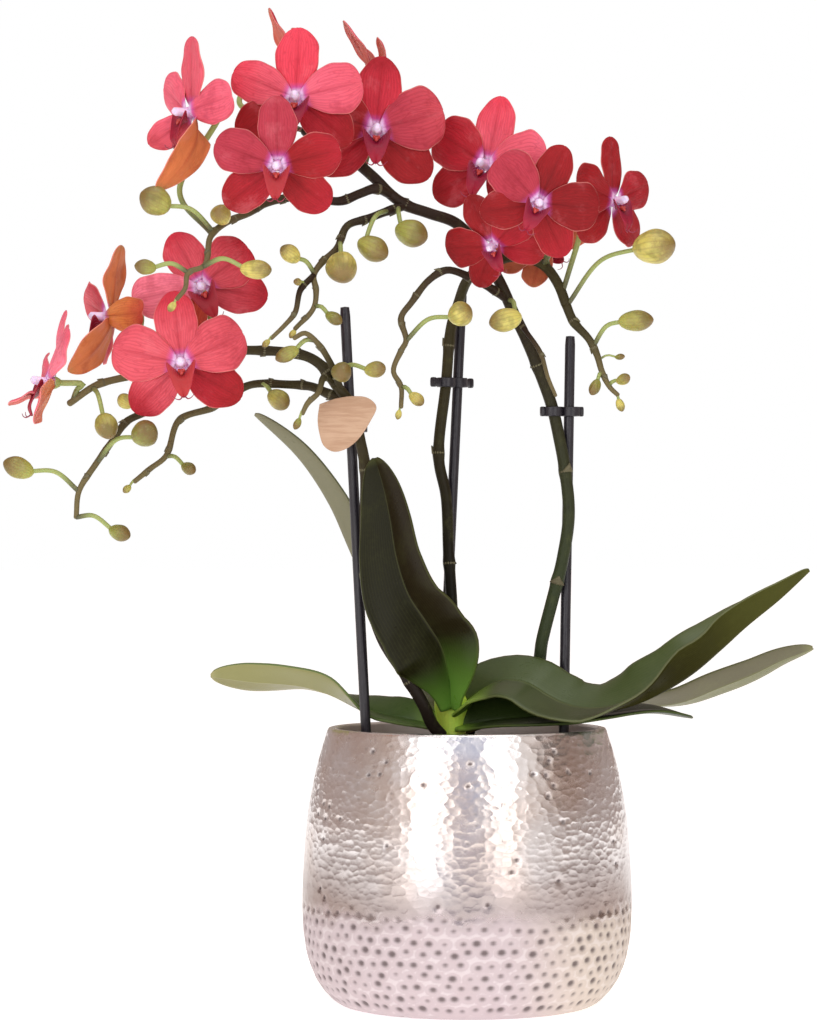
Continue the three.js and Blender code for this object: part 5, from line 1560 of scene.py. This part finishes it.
EYE_RADIUS = 2.5
EYE_SECTION = [(0, -1.7), (0.25, -1.9), (1.15, -1.9), (1.4, -1.7), (1.4, 1.7), (1.15, 1.9), (0.25, 1.9),
               (0, 1.7)]
BAR_HALVES = (1.0, 1.6)
TAB_HALVES = (1.3, 1.95)
BAR_ENDS = (0, 0.12, 0.4)
BAR_INSET = (0.7, 0.92, 1)
TAG_EDGE = [(0, 0.02), (0, 0.5), (0, 0.975), (0.12, 0.995), (0.4, 1.0)]


def stake_material(settings, name):
    """Dark satin plastic with fine scratches along it."""
    material, tree = start_material(name)
    skin = blend(tree, mottle_value(tree, 180.0, 1.3), settings.stake, "29242c")
    scratches = noise_value(tree, stretch(tree, place_coordinates(tree), (6.0, 6.0, 0.4)), 260.0, 3.0)
    rough = fade(tree, scratches, 0.3, 0.7, 0.26, 0.42)
    return finish_material(material, skin, rough, (scratches, 0.25, 0.0004))


def build_stake_shape(ends, radius):
    """A stake with a pointed foot, a rounded top and a fine seam along each side."""
    foot, top = [np.array(end, float) * MM for end in ends]
    even = np.linspace(0, 1, STAKE_RINGS)
    centres = foot + (top - foot) * even[:, None]
    ahead, across, other = frames_along(centres)
    turn = full_turn(STAKE_SIDES)
    seam = 1 + 0.05 * np.exp(-((np.sin(turn) / 0.12) ** 2))
    rings = ring_points(centres, across, other, np.interp(even, *STAKE_GIRTH) * radius, turn, seam)
    shape = Shape()
    shape.add(*closed_tube(rings, centres[0], centres[-1] + ahead[-1] * 0.25 * MM))
    return shape


class OrchidStakesOperator(bpy.types.Operator):
    """Adds the three stakes"""

    bl_idname = "orchid.add_stakes"
    bl_label = "Stakes"

    def execute(self, context):
        settings = context.scene.orchid_hardware
        material = stake_material(settings, "dark stake plastic")
        for node, ends in STAKES.items():
            shape = build_stake_shape(ends, settings.stake_radius)
            place(node.replace("stake", "support_stake"), shape, [material], [node], crease=50)
        return {"FINISHED"}


def add_rounded_bar(shape, start, end, half_deep, half_high):
    """A bar with rounded edges and ends between two points."""
    ahead = unit(end - start)
    reach = np.linalg.norm(end - start)
    turn = full_turn(24)
    square = (np.abs(np.cos(turn)) ** 5 + np.abs(np.sin(turn)) ** 5) ** -0.2
    flat, tall = np.cos(turn) * square * half_deep, np.sin(turn) * square * half_high
    section = np.cross(ahead, [0, 0, 1]) * flat[:, None] + np.array([0, 0, 1]) * tall[:, None]
    along = np.array([*BAR_ENDS, *[reach - step for step in reversed(BAR_ENDS)]])
    inset = np.array([*BAR_INSET, *reversed(BAR_INSET)])
    rings = (start + ahead * along[:, None])[:, None] + section[None] * inset[:, None, None]
    shape.add(*closed_tube(rings * MM))


def add_eye(shape, middle):
    """The ring of a clip round a stem, as a closed band."""
    out, up = np.array(EYE_SECTION).T
    turn = full_turn(40)[:, None]
    reach = EYE_RADIUS + out
    rings = np.stack([reach * np.cos(turn), reach * np.sin(turn), up + 0 * turn], axis=2) + middle
    rows, sides = rings.shape[:2]
    quads, uvs = grid_faces(rows + 1, sides, wrap=True)
    shape.add(np.concatenate([rings, rings[:1]]) * MM, [quads % (rows * sides)], [uvs])


def build_clip_shape(height, spike_eye, stake_eye, tab):
    shape = Shape()
    eyes = [np.array([*eye, height], float) for eye in (spike_eye, stake_eye)]
    ahead = unit(eyes[1] - eyes[0])
    tips = [eye + ahead * way * (CLIP_END + tab) for eye, way in zip(eyes, (-1, 1))]
    add_rounded_bar(shape, *tips, *BAR_HALVES)
    for eye, tip, way in zip(eyes, tips, (-1, 1)):
        add_rounded_bar(shape, tip - ahead * way * 1.4, tip + ahead * way * 0.2, *TAB_HALVES)
        add_eye(shape, eye)
    return shape


class OrchidClipsOperator(bpy.types.Operator):
    """Adds the clips that hold the spikes to the stakes"""

    bl_idname = "orchid.add_clips"
    bl_label = "Clips"

    def execute(self, context):
        material = stake_material(context.scene.orchid_hardware, "dark clip plastic")
        for node, clip in CLIPS.items():
            shape = build_clip_shape(*clip)
            place(node.replace("clip", "spike_clip"), shape, [material], [node], crease=45)
        return {"FINISHED"}


def tag_material(settings):
    material, tree = start_material("bare tag wood")
    along = stretch(tree, place_coordinates(tree), (0.25, 1.0, 2.2), rotation=(0, 0.25, 0))
    grain = noise_value(tree, along, 420.0, 5.0, 0.65)
    lines = calc(tree, "MULTIPLY_ADD", grain, 0.6, times(tree, noise_value(tree, along, 90.0, 2.0), 0.4))
    wood = blend(tree, fade(tree, lines, 0.38, 0.62), settings.tag_grain, settings.tag)
    return finish_material(material, wood, fade(tree, grain, 0.3, 0.7, 0.75, 0.6), (grain, 0.3, 0.0003))


def build_tag_shape():
    """A flat rounded plate with softened edges."""
    outline = np.array(TAG_OUTLINE, float) * TAG_SHARE
    path = route_points([(x, 0, z) for x, z in np.vstack([outline, outline[:1]])], TAG_POINTS + 1)[:-1]
    middle = path.mean(0)
    front = [(TAG_THICKNESS - depth, share) for depth, share in TAG_EDGE]
    rings = [(path - middle) * share + middle + [0, depth, 0] for depth, share in front + TAG_EDGE[::-1]]
    shape = Shape()
    shape.add(*closed_tube((np.array(rings) + TAG_CENTRE) * MM))
    return shape


class OrchidTagOperator(bpy.types.Operator):
    """Adds the small bare wooden tag"""

    bl_idname = "orchid.add_tag"
    bl_label = "Wooden tag"

    def execute(self, context):
        material = tag_material(context.scene.orchid_hardware)
        place("wooden_tag", build_tag_shape(), [material], ["tag"], crease=45)
        return {"FINISHED"}


# Stage. The room is given by its colour at turns about the plant, in degrees from straight ahead, and each
# light by its place, its size and its power.

WORLD_TURNS = [
    (-180, "ab9a92"), (-110, "aa948b"), (-85, "b29e93"), (-66, "c8b8ae"), (-56, "e2dcdb"), (-15, "e4e1e2"),
    (-10, "bcc3dc"), (10, "bcc3dc"), (15, "ece8e8"), (44, "fbf4f0"), (57, "f3e8e0"), (67, "a08a7b"),
    (98, "8a6d5d"), (114, "987e6f"), (180, "ab9a92"),
]
LIGHTS = {
    "left softbox": ((-0.85, -1.47, 0.75), (0.85, 1.5), 7.4),
    "right softbox": ((0.73, -1.53, 0.75), (0.55, 1.5), 4.4),
    "top softbox": ((0.1, -0.4, 1.9), (1.4, 1.4), 9.5),
}
LIGHT_TARGET = (0, 0, 0.2)
FLOOR_RADIUS = 12.0


def add_floor(settings):
    material, tree = start_material("pale floor")
    skin = blend(tree, noise_value(tree, place_coordinates(tree), 30.0, 2.0), settings.floor, "f3f3f2")
    finish_material(material, skin, 0.7, emission_color=(1, 1, 1, 1), emission_strength=0.62)
    mesh = bpy.data.meshes.new("floor")
    build = bmesh.new()
    bmesh.ops.create_circle(build, cap_ends=True, radius=FLOOR_RADIUS, segments=96)
    build.to_mesh(mesh)
    build.free()
    mesh.materials.append(material)
    link_new("floor", mesh)


def add_softbox(name, location, size, energy):
    data = bpy.data.lights.new(name, "AREA")
    data.shape = "RECTANGLE"
    data.size, data.size_y = size
    data.energy = energy
    lamp = link_new(name, data)
    lamp.location = location
    lamp.rotation_euler = (Vector(LIGHT_TARGET) - Vector(location)).to_track_quat("-Z", "Y").to_euler()
    lamp.visible_camera = False


def add_world():
    """White behind the plant, and a softly uneven warm room round it for light and reflections."""
    world = bpy.data.worlds.new("studio")
    world.use_nodes = True
    tree = world.node_tree
    where = add_node(tree, "ShaderNodeTexCoord").outputs["Generated"]
    x, y, z = add_node(tree, "ShaderNodeSeparateXYZ", {0: where}).outputs
    turn = calc(tree, "ARCTAN2", x, times(tree, y, -1.0))
    tall = fade(tree, z, 0.1, 0.2, 0.45, 1.8)
    spread = times(tree, tall, fade(tree, z, 0.3, 0.5, 1.0, 0.53))
    share = calc(tree, "MULTIPLY_ADD", times(tree, turn, spread), 1 / math.tau, 0.5, clamp=True)
    narrow = fade(tree, calc(tree, "ABSOLUTE", turn), 0.3, 0.6, 1.0, 0.0)
    plain = calc(tree, "MULTIPLY_ADD", turn, 1 / math.tau, 0.5)
    mixed = calc(tree, "MULTIPLY_ADD", calc(tree, "SUBTRACT", share, plain), narrow, plain)
    ramp = add_node(tree, "ShaderNodeValToRGB", {0: mixed})
    stops = ramp.color_ramp.elements
    for index, (degrees, code) in enumerate(WORLD_TURNS):
        stop = stops[index] if index < 2 else stops.new(1.0)
        stop.position = degrees / 360 + 0.5
        stop.color = solid(code)
    beside = times(tree, fade(tree, turn, 1.1, 1.2), fade(tree, turn, 1.5, 1.7, 1.0, 0.0))
    above = times(tree, fade(tree, z, 0.35, 0.45), fade(tree, z, 0.6, 0.72, 1.0, 0.0))
    room = blend(tree, fade(tree, z, 0.1, 0.35, 0.5, 0.0), ramp.outputs[0], "b9adab")
    blotches = fade(tree, noise_value(tree, where, 14.0, 2.0), 0.36, 0.6, 0.22, 0.0)
    room = blend(tree, blotches, room, "8d8480")
    room = blend(tree, times(tree, beside, above), room, "3c302c")
    sky = blend(tree, fade(tree, z, 0.6, 0.95), room, "d2cecb")
    seen = add_node(tree, "ShaderNodeLightPath").outputs["Is Camera Ray"]
    tree.links.new(blend(tree, seen, sky, (1, 1, 1)), tree.nodes["Background"].inputs["Color"])
    bpy.context.scene.world = world


def add_camera(settings):
    data = bpy.data.cameras.new("camera")
    data.lens = settings.lens
    data.sensor_width = 36.0
    data.sensor_fit = "AUTO"
    camera = link_new("camera", data)
    camera.location = (settings.camera_side, -settings.camera_distance, settings.camera_height)
    camera.rotation_euler = (math.radians(90), 0, 0)
    bpy.context.scene.camera = camera


class OrchidStageOperator(bpy.types.Operator):
    """Adds the pale floor, the room, the soft lights and the camera"""

    bl_idname = "orchid.add_stage"
    bl_label = "Stage"

    def execute(self, context):
        settings = context.scene.orchid_stage
        add_floor(settings)
        add_world()
        for name, light in LIGHTS.items():
            add_softbox(name, *light)
        add_camera(settings)
        context.scene.view_settings.view_transform = "Standard"
        return {"FINISHED"}


# Panel, registration and the run

PIECES = (
    OrchidPotOperator,
    OrchidGrowPotOperator,
    OrchidBarkOperator,
    OrchidCrownOperator,
    OrchidLeavesOperator,
    OrchidSpikesOperator,
    OrchidBloomsOperator,
    OrchidLipsOperator,
    OrchidStakesOperator,
    OrchidClipsOperator,
    OrchidTagOperator,
    OrchidStageOperator,
)
SETTINGS = {
    "orchid_pot": OrchidPotSettings,
    "orchid_plant": OrchidPlantSettings,
    "orchid_hardware": OrchidHardwareSettings,
    "orchid_stage": OrchidStageSettings,
}


class OrchidPanel(bpy.types.Panel):
    """Lists the plant's pieces and their settings"""

    bl_idname = "VIEW3D_PT_orchid"
    bl_label = "Potted Moth Orchid"
    bl_space_type = "VIEW_3D"
    bl_region_type = "UI"
    bl_category = "Orchid"

    def draw(self, context):
        for piece in PIECES:
            self.layout.operator(piece.bl_idname)
        for name, group in SETTINGS.items():
            box = self.layout.box()
            for key in group.__annotations__:
                box.prop(getattr(context.scene, name), key)


def register():
    for group in SETTINGS.values():
        bpy.utils.register_class(group)
    for piece in (*PIECES, OrchidPanel):
        bpy.utils.register_class(piece)
    for name, group in SETTINGS.items():
        setattr(bpy.types.Scene, name, bpy.props.PointerProperty(type=group))


def unregister():
    for name in SETTINGS:
        delattr(bpy.types.Scene, name)
    for piece in (OrchidPanel, *reversed(PIECES)):
        bpy.utils.unregister_class(piece)
    for group in SETTINGS.values():
        bpy.utils.unregister_class(group)


def main():
    register()
    for piece in PIECES:
        group, name = piece.bl_idname.split(".")
        getattr(getattr(bpy.ops, group), name)()
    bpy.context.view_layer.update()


if __name__ == "__main__":
    main()
